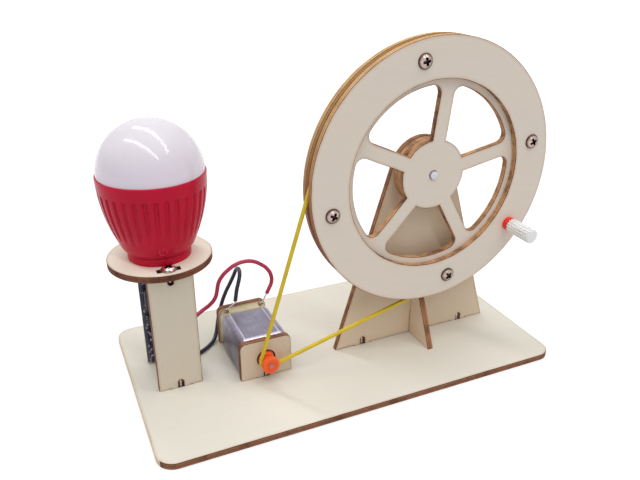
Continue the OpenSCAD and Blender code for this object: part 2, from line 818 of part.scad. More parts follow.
// Board of the wheel, drawn about the axle and turned with the wheel
module wheel_board(y) {
    translate([stand_x, 0, axle_z]) rotate([0, -wheel_turn, 0]) difference() {
        upright(y) children();
        for (a = [0 : 90 : 270]) rim_hole(y, rim_screw_r, a, screw_d);
        rim_hole(y, crank_r, crank_turn, crank_pin_d);
    }
}

module rim_ring() {
    difference() {
        circle(r = wheel_r, $fn = 180);
        circle(r = ring_in_r, $fn = 180);
    }
}

module wheel_front_ring() { color("#cfc4b8") wheel_board(front_y) rim_ring(); }

module wheel_rear_ring() { color("#cfc4b8") wheel_board(spacer_y) rim_ring(); }

// Outline of the window between two spokes, the first spoke along X
function window() = let (
    hub_a = asin(spoke_w / 2 / hub_r),
    fillet_r = window_r - window_fillet,
    fillet_a = asin((spoke_w / 2 + window_fillet) / fillet_r),
    far_a = spoke_step - fillet_a
) concat(
    arc([0, 0], hub_r, spoke_step - hub_a, hub_a, 8),
    arc(fillet_r * [cos(fillet_a), sin(fillet_a)], window_fillet, -90, fillet_a, 8),
    arc([0, 0], window_r, fillet_a, far_a, 12),
    arc(fillet_r * [cos(far_a), sin(far_a)], window_fillet, far_a, spoke_step + 90, 8));

module wheel_spoke_disc() {
    color("#cfc4b8") difference() {
        wheel_board(disc_y) difference() {
            circle(r = disc_r, $fn = 180);
            for (i = [0 : spoke_n - 1]) rotate(i * spoke_step) polygon(window());
        }
        bar_y(stand_x, axle_z, disc_y - 1, disc_y + ply + 1, axle_d + 2 * fit);
    }
}

module rim_screws() {
    color("#a9a39c") translate([stand_x, front_y, axle_z]) rotate([0, -wheel_turn, 0])
        for (a = [0 : 90 : 270]) translate([rim_screw_r * cos(a), 0, rim_screw_r * sin(a)])
            rotate([90, 0, 0]) washer_screw(3 * ply - tip_gap);
}

module hub_spacer(y) {
    difference() {
        bar_y(stand_x, axle_z, y, y + ply, 2 * hub_r - 1);
        bar_y(stand_x, axle_z, y - 1, y + ply + 1, axle_d + 2 * fit);
    }
}

module hub_spacer_front() { color("#c4ad83") hub_spacer(spacer_y); }

module hub_spacer_rear() { color("#c4ad83") hub_spacer(spacer_y + ply); }

module axle() {
    rear = axle_collar_y + axle_collar_l + axle_tail;
    color("#cdced4") bar_y(stand_x, axle_z, disc_y - axle_nose, rear, axle_d);
}

module axle_collar() {
    y0 = axle_collar_y;
    color("#e9e7e2") difference() {
        bar_y(stand_x, axle_z, y0, y0 + axle_collar_l, axle_collar_d);
        bar_y(stand_x, axle_z, y0 - 1, y0 + axle_collar_l + 1, axle_d + 2 * fit);
    }
}

// Places its children on the crank's axis, Z forwards from the rim's face
module at_crank() {
    translate([stand_x, front_y, axle_z]) rotate([0, -wheel_turn - crank_turn, 0])
        translate([crank_r, 0, 0]) rotate([90, 0, 0]) children();
}

module crank_pin() {
    rear = -3 * ply;
    tip = crank_collar_l + gap + grip_l - grip_end - gap;
    color("#bfc0c6") at_crank() {
        translate([0, 0, rear]) cylinder(h = tip - rear, d = crank_pin_d);
        translate([0, 0, rear - crank_head_h]) cylinder(h = crank_head_h, d = crank_head_d);
    }
}

module crank_collar() {
    color("#d8352c") at_crank() difference() {
        cylinder(h = crank_collar_l, d = crank_collar_d);
        translate([0, 0, -1]) cylinder(h = crank_collar_l + 2, d = crank_pin_d + 2 * fit);
    }
}

module crank_grip() {
    root = grip_d / 2 - grip_tooth;
    step = 360 / grip_tooth_n;
    tooth = [[root, 0], [grip_d / 2, 0.25], [grip_d / 2, 0.5], [root, 0.75]];
    teeth = [for (i = [0 : grip_tooth_n - 1]) for (t = tooth)
        let (a = (i + t[1]) * step) t[0] * [cos(a), sin(a)]];
    color("#f3f2ef") at_crank() translate([0, 0, crank_collar_l + gap]) difference() {
        linear_extrude(grip_l) polygon(teeth);
        translate([0, 0, -1]) cylinder(h = grip_l - grip_end + 1, d = crank_pin_d + 2 * run);
    }
}

base_plate();
stand_main_plate();
stand_cross_plate();
post_front_plank();
post_rear_plank();
lamp_shelf();
motor_front_plate();
motor_rear_plate();
base_screws();
shelf_screws();
lamp_housing();
lamp_diffuser();
led_board();
led_chips();
lamp_leads();
circuit_board();
board_tape();
board_chip();
board_inductor();
board_capacitor();
board_diodes();
board_solder();
motor_can();
motor_magnets();
motor_front_bush();
motor_end_cap();
motor_rear_bush();
motor_brushes();
motor_terminals();
red_wire();
red_wire_tip();
black_wire();
black_wire_tip();
drive_belt();
motor_shaft();
motor_armature();
motor_windings();
motor_commutator();
motor_pulley();
wheel_front_ring();
wheel_spoke_disc();
wheel_rear_ring();
rim_screws();
hub_spacer_front();
hub_spacer_rear();
axle();
axle_collar();
crank_pin();
crank_collar();
crank_grip();
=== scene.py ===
"""Hand crank generator: a plywood stand, a crank wheel, a belt, a motor and a lamp.

Laid out as an add-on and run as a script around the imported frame.
Shapes are worked out in millimetres and put into meshes in metres.
"""
import json
import math

import bmesh
import bpy
from bpy.props import FloatProperty, FloatVectorProperty, IntProperty, PointerProperty
from mathutils import Matrix, Vector
from mathutils.geometry import tessellate_polygon

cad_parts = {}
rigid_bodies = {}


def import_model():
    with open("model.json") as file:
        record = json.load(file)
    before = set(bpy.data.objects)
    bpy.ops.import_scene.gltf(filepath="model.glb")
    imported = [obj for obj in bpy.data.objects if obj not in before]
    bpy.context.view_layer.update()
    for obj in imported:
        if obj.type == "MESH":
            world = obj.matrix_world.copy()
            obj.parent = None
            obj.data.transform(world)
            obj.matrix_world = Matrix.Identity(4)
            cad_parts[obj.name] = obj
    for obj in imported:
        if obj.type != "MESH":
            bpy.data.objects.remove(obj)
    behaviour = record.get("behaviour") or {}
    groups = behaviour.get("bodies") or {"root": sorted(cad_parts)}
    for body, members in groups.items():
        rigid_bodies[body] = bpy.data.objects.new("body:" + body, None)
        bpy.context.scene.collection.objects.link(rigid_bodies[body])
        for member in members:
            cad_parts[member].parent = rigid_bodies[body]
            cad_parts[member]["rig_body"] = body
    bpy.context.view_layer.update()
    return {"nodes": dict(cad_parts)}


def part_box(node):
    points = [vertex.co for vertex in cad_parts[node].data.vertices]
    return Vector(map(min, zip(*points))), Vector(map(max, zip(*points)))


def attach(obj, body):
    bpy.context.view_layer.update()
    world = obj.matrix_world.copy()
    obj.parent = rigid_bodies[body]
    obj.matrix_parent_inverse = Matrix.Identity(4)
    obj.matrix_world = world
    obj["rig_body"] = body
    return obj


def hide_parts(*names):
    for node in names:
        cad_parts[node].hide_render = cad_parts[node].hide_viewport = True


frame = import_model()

bl_info = {
    "name": "Hand crank generator",
    "version": (1, 0, 0),
    "blender": (4, 5, 0),
    "location": "View3D > Sidebar > Generator",
    "description": "Makes the pieces and finishes of a plywood hand crank generator",
    "category": "Add Mesh",
}

MM = 0.001
QUARTER = math.pi / 2


# Places read from the frame, in millimetres

def span(node):
    """Lowest and highest corner of a CAD node."""
    low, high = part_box(node)
    return low / MM, high / MM


def centre(node):
    """Middle of a CAD node's box."""
    low, high = span(node)
    return (low + high) / 2


def turned_size(node):
    """Radius and length of a CAD node that is turned about Y."""
    low, high = span(node)
    return (high.x - low.x) / 2, high.y - low.y


BASE_LOW, BASE_HIGH = span("base_plate")
PLY = BASE_HIGH.z - BASE_LOW.z
BASE_TOP = BASE_HIGH.z
STAND_X = centre("stand_main_plate").x
STAND_Y = span("stand_main_plate")[0].y
AXLE = centre("hub_spacer_front")
MOTOR = centre("motor_pulley")
POST_X = centre("post_front_plank").x
POST_Y = span("post_front_plank")[0].y
REAR_Y = span("post_rear_plank")[0].y
LAMP = centre("lamp_diffuser")
SHELF_TOP = span("lamp_shelf")[1].z
RIM_FRONT = span("wheel_front_ring")[0].y
CRANK = centre("crank_collar")
PCB_LOW, PCB_HIGH = span("circuit_board")

# Joinery of the boards
TAB_W = 10.0
STUB = 1.4
SLOT_W = 2.6
SLOT_L = 4.0
FIT = 0.05
SCREW_D = 2.2
STAND_TAB = 29.5
CROSS_FRONT = 26.0

# Wheel
DISC_R = 59.0
RING_IN = 45.0
RIM_SCREW_R = 54.2
AXLE_HOLE = 2.05
PIN_HOLE = 1.55
WHEEL_TURN = math.radians(11.3)

# An outline shorter than this has a narrow scorch
SMALL_HOLE = 40.0
# A hollow tighter than this, as one over its radius, is charred
TIGHT = 0.5

BASE_SPOTS = [
    (POST_X, POST_Y), (POST_X, REAR_Y),
    (STAND_X - STAND_TAB, STAND_Y), (STAND_X + STAND_TAB, STAND_Y),
    (MOTOR.x, span("motor_front_plate")[0].y), (MOTOR.x, span("motor_rear_plate")[0].y),
]
SHELF_SPOTS = [(POST_X, POST_Y), (POST_X, REAR_Y)]

# Routes of the wires: X from the motor's axis, Y, and height above the base
RED_ROUTE = [
    (-40, 17.5, 21), (-40, 16, 21), (-39.6, 14.1, 21), (-38.5, 12.5, 21), (-36.9, 11.4, 21.1),
    (-35, 11, 21.2), (-32.6, 11.5, 21.4), (-30, 12.8, 21.7), (-27.2, 14.6, 22.1), (-24.2, 16.4, 22.8),
    (-20.8, 17.7, 24), (-17, 18, 26.1), (-14.3, 18, 29.2), (-13.1, 18, 33.1), (-12.2, 18, 36.9),
    (-10.2, 18, 40.2), (-7, 18, 43), (-3, 18, 45.2), (1.5, 18, 46), (6, 18, 45.2), (10, 18, 42.8),
    (13.4, 18, 39.4), (15.3, 18, 35.4), (15.4, 18, 31.6), (14, 18, 28.2), (12.6, 18, 25.6),
]
BLACK_ROUTE = [
    (-40, 17.5, 9.6), (-40, 16, 9.6), (-39.7, 14.1, 9.35), (-38.9, 12.5, 8.6), (-37.7, 11.4, 7.55),
    (-36.2, 11, 6.3), (-34, 11.2, 4.5), (-31.6, 11.9, 3), (-29, 13.1, 1.9), (-25.8, 14.9, 1.3),
    (-22, 17.3, 1.1), (-18.4, 20.2, 1.1), (-15.4, 23.2, 1.6), (-13.3, 25.9, 3.3), (-12, 27.6, 6.4),
    (-11, 28.4, 10.2), (-9.7, 28.7, 14.8), (-8.2, 28.8, 19.6), (-5.9, 28.8, 25), (-3.2, 28.5, 30.2),
    (-1.2, 27.8, 34.8), (-0.5, 27.1, 37.2), (-0.05, 25.4, 39), (0, 22.9, 39.7), (-0.4, 20.5, 39),
    (-1.2, 18.7, 37.2), (-2.1, 18, 34.8), (-3, 18, 31.6), (-3.6, 18, 28.4), (-4.2, 18, 25),
]
RED_TIP = [(12.6, 18, 25.6), (10.1, 18, 20.9)]
BLACK_TIP = [(-4.2, 18, 25), (-4.4, 18, 23.8), (-9, 18, 21.1)]
# Route of a lamp lead: Y and Z, from the circuit board up into the lamp
LEAD_ROUTE = [
    (17.5, 50), (16.4, 50.2), (15.4, 50.8), (14.5, 51.8), (13.8, 53.2), (13.3, 55), (13.05, 57),
    (13, 59.5), (13, 63), (13, 67), (13, 72), (13, 78), (13, 84), (13, 90), (13, 96.2),
]
LEAD_W = 1.2


def srgb(red, green, blue):
    """Scene linear colour of an 8-bit display colour."""
    def linear(v):
        v /= 255
        return v / 12.92 if v <= 0.04045 else ((v + 0.055) / 1.055) ** 2.4
    return (linear(red), linear(green), linear(blue), 1.0)


# What a user would change

def length(label, about, default):
    return FloatProperty(name=label, description=about, default=default, unit="LENGTH", precision=5)


def number(label, about, default):
    return IntProperty(name=label, description=about, default=default)


def colour(label, about, *shade):
    return FloatVectorProperty(name=label, description=about, default=srgb(*shade), size=4,
                               subtype="COLOR", min=0.0, max=1.0)


class GeneratorSizes(bpy.types.PropertyGroup):
    """Sizes of the details that the frame doesn't carry."""

    scorch: length("Scorch", "Width of the burnt border on a board's face", 0.0016)
    hole_scorch: length("Hole scorch", "Width of the burnt border round a small hole", 0.0005)
    arris: length("Arris", "Width of the broken edge of a board", 0.00018)
    thread_pitch: length("Thread pitch", "Pitch of the screws' threads", 0.0008)
    thread_depth: length("Thread depth", "Depth of the screws' threads", 0.00022)
    flute_width: length("Flute width", "Width of a flute of the lamp's cup", 0.0020)
    flute_depth: length("Flute depth", "Depth of a flute of the lamp's cup", 0.00095)
    flute_low: length("Flute foot", "Height at which the flutes start", 0.0125)
    flute_high: length("Flute top", "Height at which the flutes end", 0.0325)
    flute_count: number("Flutes", "Number of flutes round the cup", 33)
    spline_count: number("Splines", "Number of splines of the grip", 16)
    spline_depth: length("Spline depth", "Depth of the grip's splines", 0.0007)
    belt_round: length("Belt rounding", "Radius of the belt's edges", 0.0004)
    wire_width: length("Wire", "Thickness of the motor's wires", 0.002)
    strand_count: number("Strands", "Strands in a wire's bare end", 5)


class GeneratorColours(bpy.types.PropertyGroup):
    """Colours of the finishes."""

    base_ply: colour("Base board", "Plywood of the base", 227, 223, 212)
    # The shelf's plywood is painted lighter than the base's, to cancel the shade and red bounce of the lamp
    # on it: painted light.
    shelf_ply: colour("Shelf board", "Plywood of the lamp's shelf", 246, 244, 228)
    wheel_ply: colour("Wheel boards", "Plywood of the wheel", 235, 224, 212)
    stand_ply: colour("Stand boards", "Plywood of the stand", 227, 208, 184)
    post_ply: colour("Post boards", "Plywood of the post", 220, 210, 193)
    motor_ply: colour("Motor boards", "Plywood of the motor's plates", 218, 200, 180)
    rim_light: colour("Rim, light", "Wood of the rim's edge", 228, 190, 136)
    rim_dark: colour("Rim, burnt", "Burnt wood of the rim's edge", 140, 88, 58)
    wheel_light: colour("Wheel, light", "Wood of the edges inside the wheel", 238, 184, 132)
    stand_light: colour("Stand, light", "Wood of the stand's edges", 188, 132, 90)
    shelf_light: colour("Shelf, light", "Wood of the shelf's edge", 146, 92, 66)
    edge_light: colour("Edge, light", "Wood of the other boards' edges", 172, 118, 86)
    edge_dark: colour("Edge, burnt", "Burnt wood of a cut edge", 84, 48, 38)
    lamp_red: colour("Lamp cup", "Plastic of the lamp's cup", 199, 17, 53)
    dome_white: colour("Lamp dome", "Frosted plastic of the dome", 236, 230, 236)
    steel: colour("Steel", "Bare steel of the shafts", 196, 196, 204)
    can_steel: colour("Motor can", "Steel of the motor's can", 150, 146, 161)
    nickel: colour("Screws", "Plating of the screws", 190, 170, 161)
    cap_cream: colour("Motor cap", "Plastic of the motor's end cap", 208, 196, 158)
    pulley_orange: colour("Pulley", "Plastic of the motor's pulley", 252, 96, 30)
    belt_yellow: colour("Belt", "Rubber of the belt", 226, 198, 46)
    wire_red: colour("Red wire", "Insulation of the red wire", 190, 44, 82)
    wire_black: colour("Black wire", "Insulation of the black wire", 38, 36, 60)
    tinned: colour("Tinned ends", "Bare ends, solder and lugs", 206, 200, 198)
    board_navy: colour("Circuit board", "Mask of the circuit board", 36, 36, 80)
    grip_white: colour("Grip", "Plastic of the crank's grip", 253, 253, 253)
    collar_red: colour("Collar", "Plastic of the crank's collar", 240, 44, 30)


class GeneratorStage(bpy.types.PropertyGroup):
    """Light and floor of the stage."""

    strip_power: FloatProperty(name="Strip power", description="Power of one overhead strip lamp",
                               default=6.4, unit="POWER")
    sky: FloatProperty(name="Sky", description="Strength of the even light from all round", default=0.5)
    floor: colour("Floor", "Colour of the floor", 203, 203, 203)


def sizes():
    return bpy.context.scene.generator_sizes


def shade_of(key):
    """A colour of the settings."""
    return tuple(getattr(bpy.context.scene.generator_colours, key))


# Node trees

class Nodes:
    """A node tree that is built one node at a time."""

    def __init__(self, tree):
        self.tree = tree

    def feed(self, sockets, values):
        """Links or sets sockets, by name or number."""
        for key, value in values.items():
            if isinstance(value, bpy.types.NodeSocket):
                self.tree.links.new(value, sockets[key])
            else:
                sockets[key].default_value = value

    def node(self, kind, inputs=None, **settings):
        made = self.tree.nodes.new(kind)
        for key, value in settings.items():
            setattr(made, key, value)
        self.feed(made.inputs, inputs or {})
        return made

    def first(self, kind, inputs=None, **settings):
        """First output of a new node."""
        return self.node(kind, inputs, **settings).outputs[0]

    def math(self, operation, a, b=0.0):
        return self.first("ShaderNodeMath", {0: a, 1: b}, operation=operation)

    def remap(self, value, low, high, to_low=0.0, to_high=1.0, smooth=False):
        return self.first("ShaderNodeMapRange", {
            "Value": value, "From Min": low, "From Max": high, "To Min": to_low, "To Max": to_high,
        }, interpolation_type="SMOOTHSTEP" if smooth else "LINEAR")

    def axes(self, vector):
        """X, Y and Z of a vector."""
        return self.node("ShaderNodeSeparateXYZ", {0: vector}).outputs

    def flat(self, x, y):
        """Vector of an X and a Y."""
        return self.first("ShaderNodeCombineXYZ", {0: x, 1: y})

    def reach(self, vector):
        """Length of a vector."""
        return self.node("ShaderNodeVectorMath", {0: vector}, operation="LENGTH").outputs["Value"]


class Finish(Nodes):
    """A procedural material on Object coordinates."""

    def __init__(self, name):
        self.material = bpy.data.materials.new(name)
        self.material.use_nodes = True
        super().__init__(self.material.node_tree)
        self.tree.nodes.clear()
        self.shader = self.node("ShaderNodeBsdfPrincipled")
        self.node("ShaderNodeOutputMaterial", {"Surface": self.shader.outputs[0]})
        self.place = self.node("ShaderNodeTexCoord").outputs["Object"]

    def cells(self, size, turn=(0, 0, 0), at=(0, 0, 0)):
        """Object coordinates counted in cells of that size in metres, turned and moved."""
        return self.first("ShaderNodeMapping", {
            "Vector": self.place, "Location": at, "Rotation": turn, "Scale": size}, vector_type="TEXTURE")

    def noise_on(self, vector, detail=2.0, rough=0.5):
        return self.node("ShaderNodeTexNoise", {
            "Vector": vector, "Scale": 1.0, "Detail": detail, "Roughness": rough}).outputs["Fac"]

    def noise(self, size, turn=(0, 0, 0), detail=2.0, rough=0.5, at=(0, 0, 0)):
        if not isinstance(size, tuple):
            size = (size,) * 3
        return self.noise_on(self.cells(size, turn, at), detail, rough)

    def attribute(self, name):
        return self.node("ShaderNodeAttribute", attribute_name=name).outputs["Fac"]

    def mix(self, factor, a, b):
        return self.node("ShaderNodeMix", {0: factor, 6: a, 7: b}, data_type="RGBA").outputs[2]

    def coats(self, tint, shade, *layers):
        """A tint with layers over it, each a factor and what it makes of a shade."""
        for factor, change in layers:
            tint = self.mix(factor, tint, tone(shade, *change))
        return tint

    def ramp(self, value, stops):
        made = self.node("ShaderNodeValToRGB", {0: value})
        elements = made.color_ramp.elements
        while len(elements) < len(stops):
            elements.new(0.5)
        for element, (place, shade) in zip(elements, stops):
            element.position = place
            element.color = shade
        return made.outputs[0]

    def bump(self, height, strength, distance):
        self.set(Normal=self.first("ShaderNodeBump", {
            "Height": height, "Strength": strength, "Distance": distance}))

    def set(self, **inputs):
        """Sets or links the shader's sockets, with spaces written as underscores."""
        self.feed(self.shader.inputs, {key.replace("_", " "): value for key, value in inputs.items()})
        return self.material


def tone(shade, red, green=None, blue=None):
    """A colour made lighter or darker, all over or channel by channel."""
    green = red if green is None else green
    blue = red if blue is None else blue
    return (min(1, shade[0] * red), min(1, shade[1] * green), min(1, shade[2] * blue), 1.0)


FINISHES = {}


def finish(name, maker, *words, **facts):
    """The named material, made the first time that it is asked for."""
    if name not in FINISHES:
        FINISHES[name] = maker(name, *words, **facts)
    return FINISHES[name]


def plywood_face(name, shade, turn=(0, 0, 0), groove=None):
    """Sanded birch face: faint grain, clouds and pores, and the scorch at its edges.

    A groove is (X, Z, radius, nearest Y, farthest Y), and what lies in it is stained golden, redder and
    darker lower down, with painted shade towards the groove's bottom.
    """
    f = Finish(name)
    grain = f.noise((0.045, 0.0016, 0.0016), turn, 4.0, 0.6)
    cloud = f.noise((0.05, 0.018, 0.018), turn, 2.0, 0.5, (0.3, 0.1, 0.2))
    pores = f.noise((0.0045, 0.00045, 0.00045), turn, 1.0)
    fleck = f.noise((0.012, 0.0014, 0.0014), turn, 1.0, 0.5, (0.7, 0.2, 0.5))
    patch = f.noise(0.006, detail=3.0)
    burn = f.math("ADD", f.attribute("scorch"), f.remap(patch, 0.3, 0.7, -0.12, 0.12))
    wood = f.coats(
        shade, shade,
        (f.remap(grain, 0.36, 0.7, 0.0, 0.42), (0.955, 0.94, 0.905)),
        (f.remap(cloud, 0.35, 0.75, 0.0, 0.7), (1.01, 0.985, 0.95)),
        (f.remap(pores, 0.62, 0.8, 0.0, 0.2), (0.86, 0.8, 0.72)),
        (f.remap(fleck, 0.74, 0.82, 0.0, 0.2), (0.7, 0.6, 0.46)),
        (f.remap(burn, 0.1, 0.95, 0.0, 0.5), (0.82, 0.62, 0.45)),
        (f.remap(burn, 0.84, 1.08, 0.0, 0.6, True), (0.28, 0.17, 0.11)))
    if groove:
        x, z, radius, near, far = groove
        at = f.axes(f.place)
        away = f.reach(f.flat(f.math("SUBTRACT", at[0], x), f.math("SUBTRACT", at[2], z)))
        between = f.math("MULTIPLY", f.math("GREATER_THAN", at[1], near), f.math("LESS_THAN", at[1], far))
        inside = f.math("MULTIPLY", f.math("GREATER_THAN", away, radius), between)
        golden, brown = tone(shade_of("rim_light"), 0.9, 0.82, 0.7), shade_of("rim_dark")
        stain_and_shade = f.coats(
            golden, brown,
            # Redder and darker lower down; darker near the groove's bottom, which is painted shade deep in
            # the groove.
            (f.remap(at[2], z + 0.03, z - 0.02, 0.0, 0.85), (1.15, 1.0, 1.35)),
            (f.remap(away, radius + 0.0032, radius + 0.004, 0.9, 0.0), (0.6, 0.46, 0.42)))
        wood = f.mix(f.math("MULTIPLY", inside, f.remap(patch, 0.3, 0.7, 0.75, 1.0)), wood, stain_and_shade)
    f.bump(f.math("ADD", f.math("MULTIPLY", grain, 0.6), pores), 0.05, 0.0002)
    return f.set(Base_Color=wood, Roughness=f.remap(grain, 0.3, 0.7, 0.52, 0.66), Specular_IOR_Level=0.3)


def burnt_edge(name, light, dark, char, black_above=None, burnt_below=None, sawn_left=None):
    """Laser-cut edge: three plies, dark glue lines and uneven charring.

    It may be black above a height, redder below one, and pale where it was sawn on the left.
    """
    f = Finish(name)
    layer = f.attribute("layer")
    plies = f.ramp(layer, [
        (0.0, tone(dark, 0.55)), (0.07, dark), (0.13, light), (0.3, tone(light, 0.92)),
        (0.345, tone(dark, 0.8)), (0.39, tone(light, 0.74, 0.7, 0.66)),
        (0.6, tone(light, 0.8, 0.74, 0.68)), (0.65, tone(dark, 0.8)), (0.7, light),
        (0.88, tone(light, 0.9)), (0.94, dark), (1.0, tone(dark, 0.55))])
    soot = f.noise(0.0075, detail=3.0, rough=0.6)
    lines = f.noise_on(f.flat(f.math("MULTIPLY", f.attribute("along"), 3.2), f.math("MULTIPLY", layer, 0.8)))
    wood = f.coats(
        plies, dark,
        (f.remap(soot, 0.42, 0.68, 0.0, char), (0.95,)),
        (f.remap(lines, 0.5, 0.8, 0.0, 0.7 * char), (0.6,)))
    wood = f.mix(f.remap(lines, 0.2, 0.42, 0.35, 0.0), wood, tone(light, 1.2, 1.15, 1.05))
    wood = f.mix(f.attribute("char"), wood, tone(dark, 0.16, 0.15, 0.16))
    aside, _, high = f.axes(f.place)
    if sawn_left is not None:
        wood = f.mix(f.math("LESS_THAN", aside, sawn_left), wood, tone(light, 1.9, 3.4, 4.9))
    if black_above is not None:
        wood = f.mix(f.math("GREATER_THAN", high, black_above), wood, tone(dark, 0.12, 0.14, 0.16))
    # Redder and darker below a height, more so further down.
    if burnt_below is not None:
        share = f.remap(high, burnt_below, burnt_below - 0.05, 0.0, 0.8)
        wood = f.mix(share, wood, tone(dark, 1.15, 1.0, 1.35))
    f.bump(f.math("ADD", lines, soot), 0.25, 0.0002)
    return f.set(Base_Color=wood, Roughness=f.remap(soot, 0.3, 0.7, 0.6, 0.8), Specular_IOR_Level=0.25)


def moulded(name, shade, rough=0.3, patch=0.01, depth=0.08, **inputs):
    """Moulded plastic: faint clouds of colour, uneven gloss and a soft skin."""
    f = Finish(name)
    cloud = f.noise(patch, detail=3.0)
    grain = f.noise(patch * 0.06, detail=2.0)
    tint = f.coats(
        tone(shade, 0.94), shade,
        (f.remap(cloud, 0.3, 0.7), (1.05, 1.04, 1.04)),
        (f.remap(grain, 0.62, 0.8, 0.0, 0.35), (0.82,)))
    f.bump(f.math("ADD", cloud, f.math("MULTIPLY", grain, 0.3)), depth, 0.0002)
    return f.set(Base_Color=tint, Roughness=f.remap(cloud, 0.3, 0.7, rough - 0.05, rough + 0.07), **inputs)


def frosted_dome(name, shade):
    """Milky plastic with a faint moulding swirl and a soft gloss, painted darker towards the top and paler
    below: painted shade and light.
    """
    f = Finish(name)
    cloud = f.noise(0.016, detail=2.0)
    ring = f.noise((0.2, 0.2, 0.0035), detail=2.0)
    middle = LAMP.z * MM
    tint = f.coats(
        # Darker towards the top and paler below: painted shade against the light from above.
        tone(shade, 1.03, 0.97, 1.06), shade,
        (f.remap(f.axes(f.place)[2], middle - 0.014, middle + 0.012), (0.81, 0.82, 0.82)),
        (f.remap(cloud, 0.35, 0.7, 0.0, 0.4), (0.97, 0.955, 0.985)),
        (f.remap(ring, 0.45, 0.75, 0.0, 0.3), (0.95, 0.94, 0.965)))
    f.bump(f.noise(0.0012, detail=2.0), 0.015, 0.0002)
    return f.set(Base_Color=tint, Roughness=f.remap(cloud, 0.3, 0.7, 0.1, 0.15), Specular_IOR_Level=0.4,
                 Subsurface_Weight=0.12, Subsurface_Radius=(1.0, 0.8, 0.8), Subsurface_Scale=0.003)


def worn_metal(name, shade, rough=0.3, streak=(0.012, 0.0006, 0.0006), smudge=0.5, marks=()):
    """Bare or plated metal: drawn streaks, dull smudges and small dark pits.

    Marks are pairs of a point or face attribute and the colour that it brings: painted shade and painted
    highlights.
    """
    f = Finish(name)
    drawn = f.noise(streak, detail=3.0, rough=0.6)
    cloud = f.noise(0.007, detail=4.0, rough=0.65)
    pits = f.noise(0.0009, detail=1.0)
    tint = f.coats(
        tone(shade, 0.88), shade,
        (f.remap(drawn, 0.3, 0.7), (1.08,)),
        (f.remap(cloud, 0.4, 0.7, 0.0, smudge), (0.72, 0.7, 0.7)),
        (f.remap(pits, 0.68, 0.78, 0.0, 0.5), (0.45,)))
    for mark, other in marks:
        tint = f.mix(f.attribute(mark), tint, other)
    gloss = f.math("ADD", f.remap(cloud, 0.3, 0.7, rough - 0.08, rough + 0.16),
                   f.remap(drawn, 0.3, 0.7, -0.03, 0.05))
    f.bump(f.math("ADD", drawn, pits), 0.06, 0.0001)
    return f.set(Base_Color=tint, Metallic=1.0, Roughness=gloss)


def rubber(name, shade):
    """Matt rubber with a dusty bloom and fine pitting."""
    f = Finish(name)
    bloom = f.noise(0.006, detail=3.0)
    pits = f.noise(0.0006, detail=2.0)
    tint = f.coats(
        tone(shade, 0.9, 0.88, 0.8), shade,
        (f.remap(bloom, 0.35, 0.7), (1.06, 1.06, 1.25)),
        (f.remap(pits, 0.6, 0.75, 0.0, 0.4), (0.72,)))
    f.bump(pits, 0.25, 0.0002)
    return f.set(Base_Color=tint, Roughness=f.remap(bloom, 0.3, 0.7, 0.5, 0.65), Specular_IOR_Level=0.35)


def circuit_mask(name, shade):
    """Solder mask with the paler lines of the tracks under it, a white print and a bare left edge."""
    f = Finish(name)
    tracks = f.first("ShaderNodeTexBrick", {
        "Vector": f.cells((0.011, 0.011, 0.011), (QUARTER, 0, 0)), "Color1": tone(shade, 0.85),
        "Color2": shade, "Mortar": tone(shade, 1.9, 1.8, 1.5), "Scale": 3.0,
        "Mortar Size": 0.035, "Brick Width": 0.9, "Row Height": 0.32}, offset=0.37)
    weave = f.noise(0.0008, detail=1.0)
    print_marks = f.noise((0.0022, 0.0022, 0.0016), detail=1.0, at=(0.3, 0.0, 0.7))
    edge = (PCB_LOW.x + 1.3) * MM
    tint = f.mix(f.remap(weave, 0.4, 0.7, 0.0, 0.35), tracks, tone(shade, 0.7))
    tint = f.mix(f.remap(print_marks, 0.61, 0.66, 0.0, 0.8), tint, srgb(206, 204, 214))
    tint = f.mix(f.remap(f.axes(f.place)[0], edge + 0.0002, edge, 0.0, 0.8), tint, srgb(92, 90, 104))
    f.bump(weave, 0.1, 0.0001)
    return f.set(Base_Color=tint, Roughness=f.remap(weave, 0.3, 0.7, 0.25, 0.4))


# Meshes, in millimetres

# Faces that meet at more degrees than this show a crease
CREASE = 35.0
# Keeps the corners of an inset loop from running far out
BLUNT = 0.35


def arc(middle, radius, start, stop, steps):
    """Points of an arc, angles in degrees, both ends with it."""
    angles = [math.radians(start + (stop - start) * i / steps) for i in range(steps + 1)]
    return [(middle[0] + radius * math.cos(a), middle[1] + radius * math.sin(a)) for a in angles]


def circle(middle, radius, steps, hole=False):
    """Closed outline of a circle, clockwise where it is a hole."""
    points = arc(middle, radius, 0, 360, steps)[:-1]
    return points[::-1] if hole else points


def rounded(width, depth, radius, steps=8):
    """Outline of a rectangle with round corners, anticlockwise."""
    x, y = width / 2 - radius, depth / 2 - radius
    return (arc((x, -y), radius, -90, 0, steps) + arc((x, y), radius, 0, 90, steps)
            + arc((-x, y), radius, 90, 180, steps) + arc((-x, -y), radius, 180, 270, steps))


def inset(loop, distance):
    """A loop moved to its left, which is the side of the wood."""
    moved = []
    for i, point in enumerate(loop):
        here = Vector(point)
        before = (here - Vector(loop[i - 1])).normalized()
        after = (Vector(loop[(i + 1) % len(loop)]) - here).normalized()
        a, b = Vector((-before.y, before.x)), Vector((-after.y, after.x))
        moved.append(here + (a + b) * (distance / max(BLUNT, 1 + a.dot(b))))
    return moved


def hollow(loop, i):
    """How tightly a loop bends round a hollow at a point, as one over its radius."""
    before = Vector(loop[i]) - Vector(loop[i - 1])
    after = Vector(loop[(i + 1) % len(loop)]) - Vector(loop[i])
    turn = before.x * after.y - before.y * after.x
    return -turn / (before.length * after.length * max(before.length, after.length))


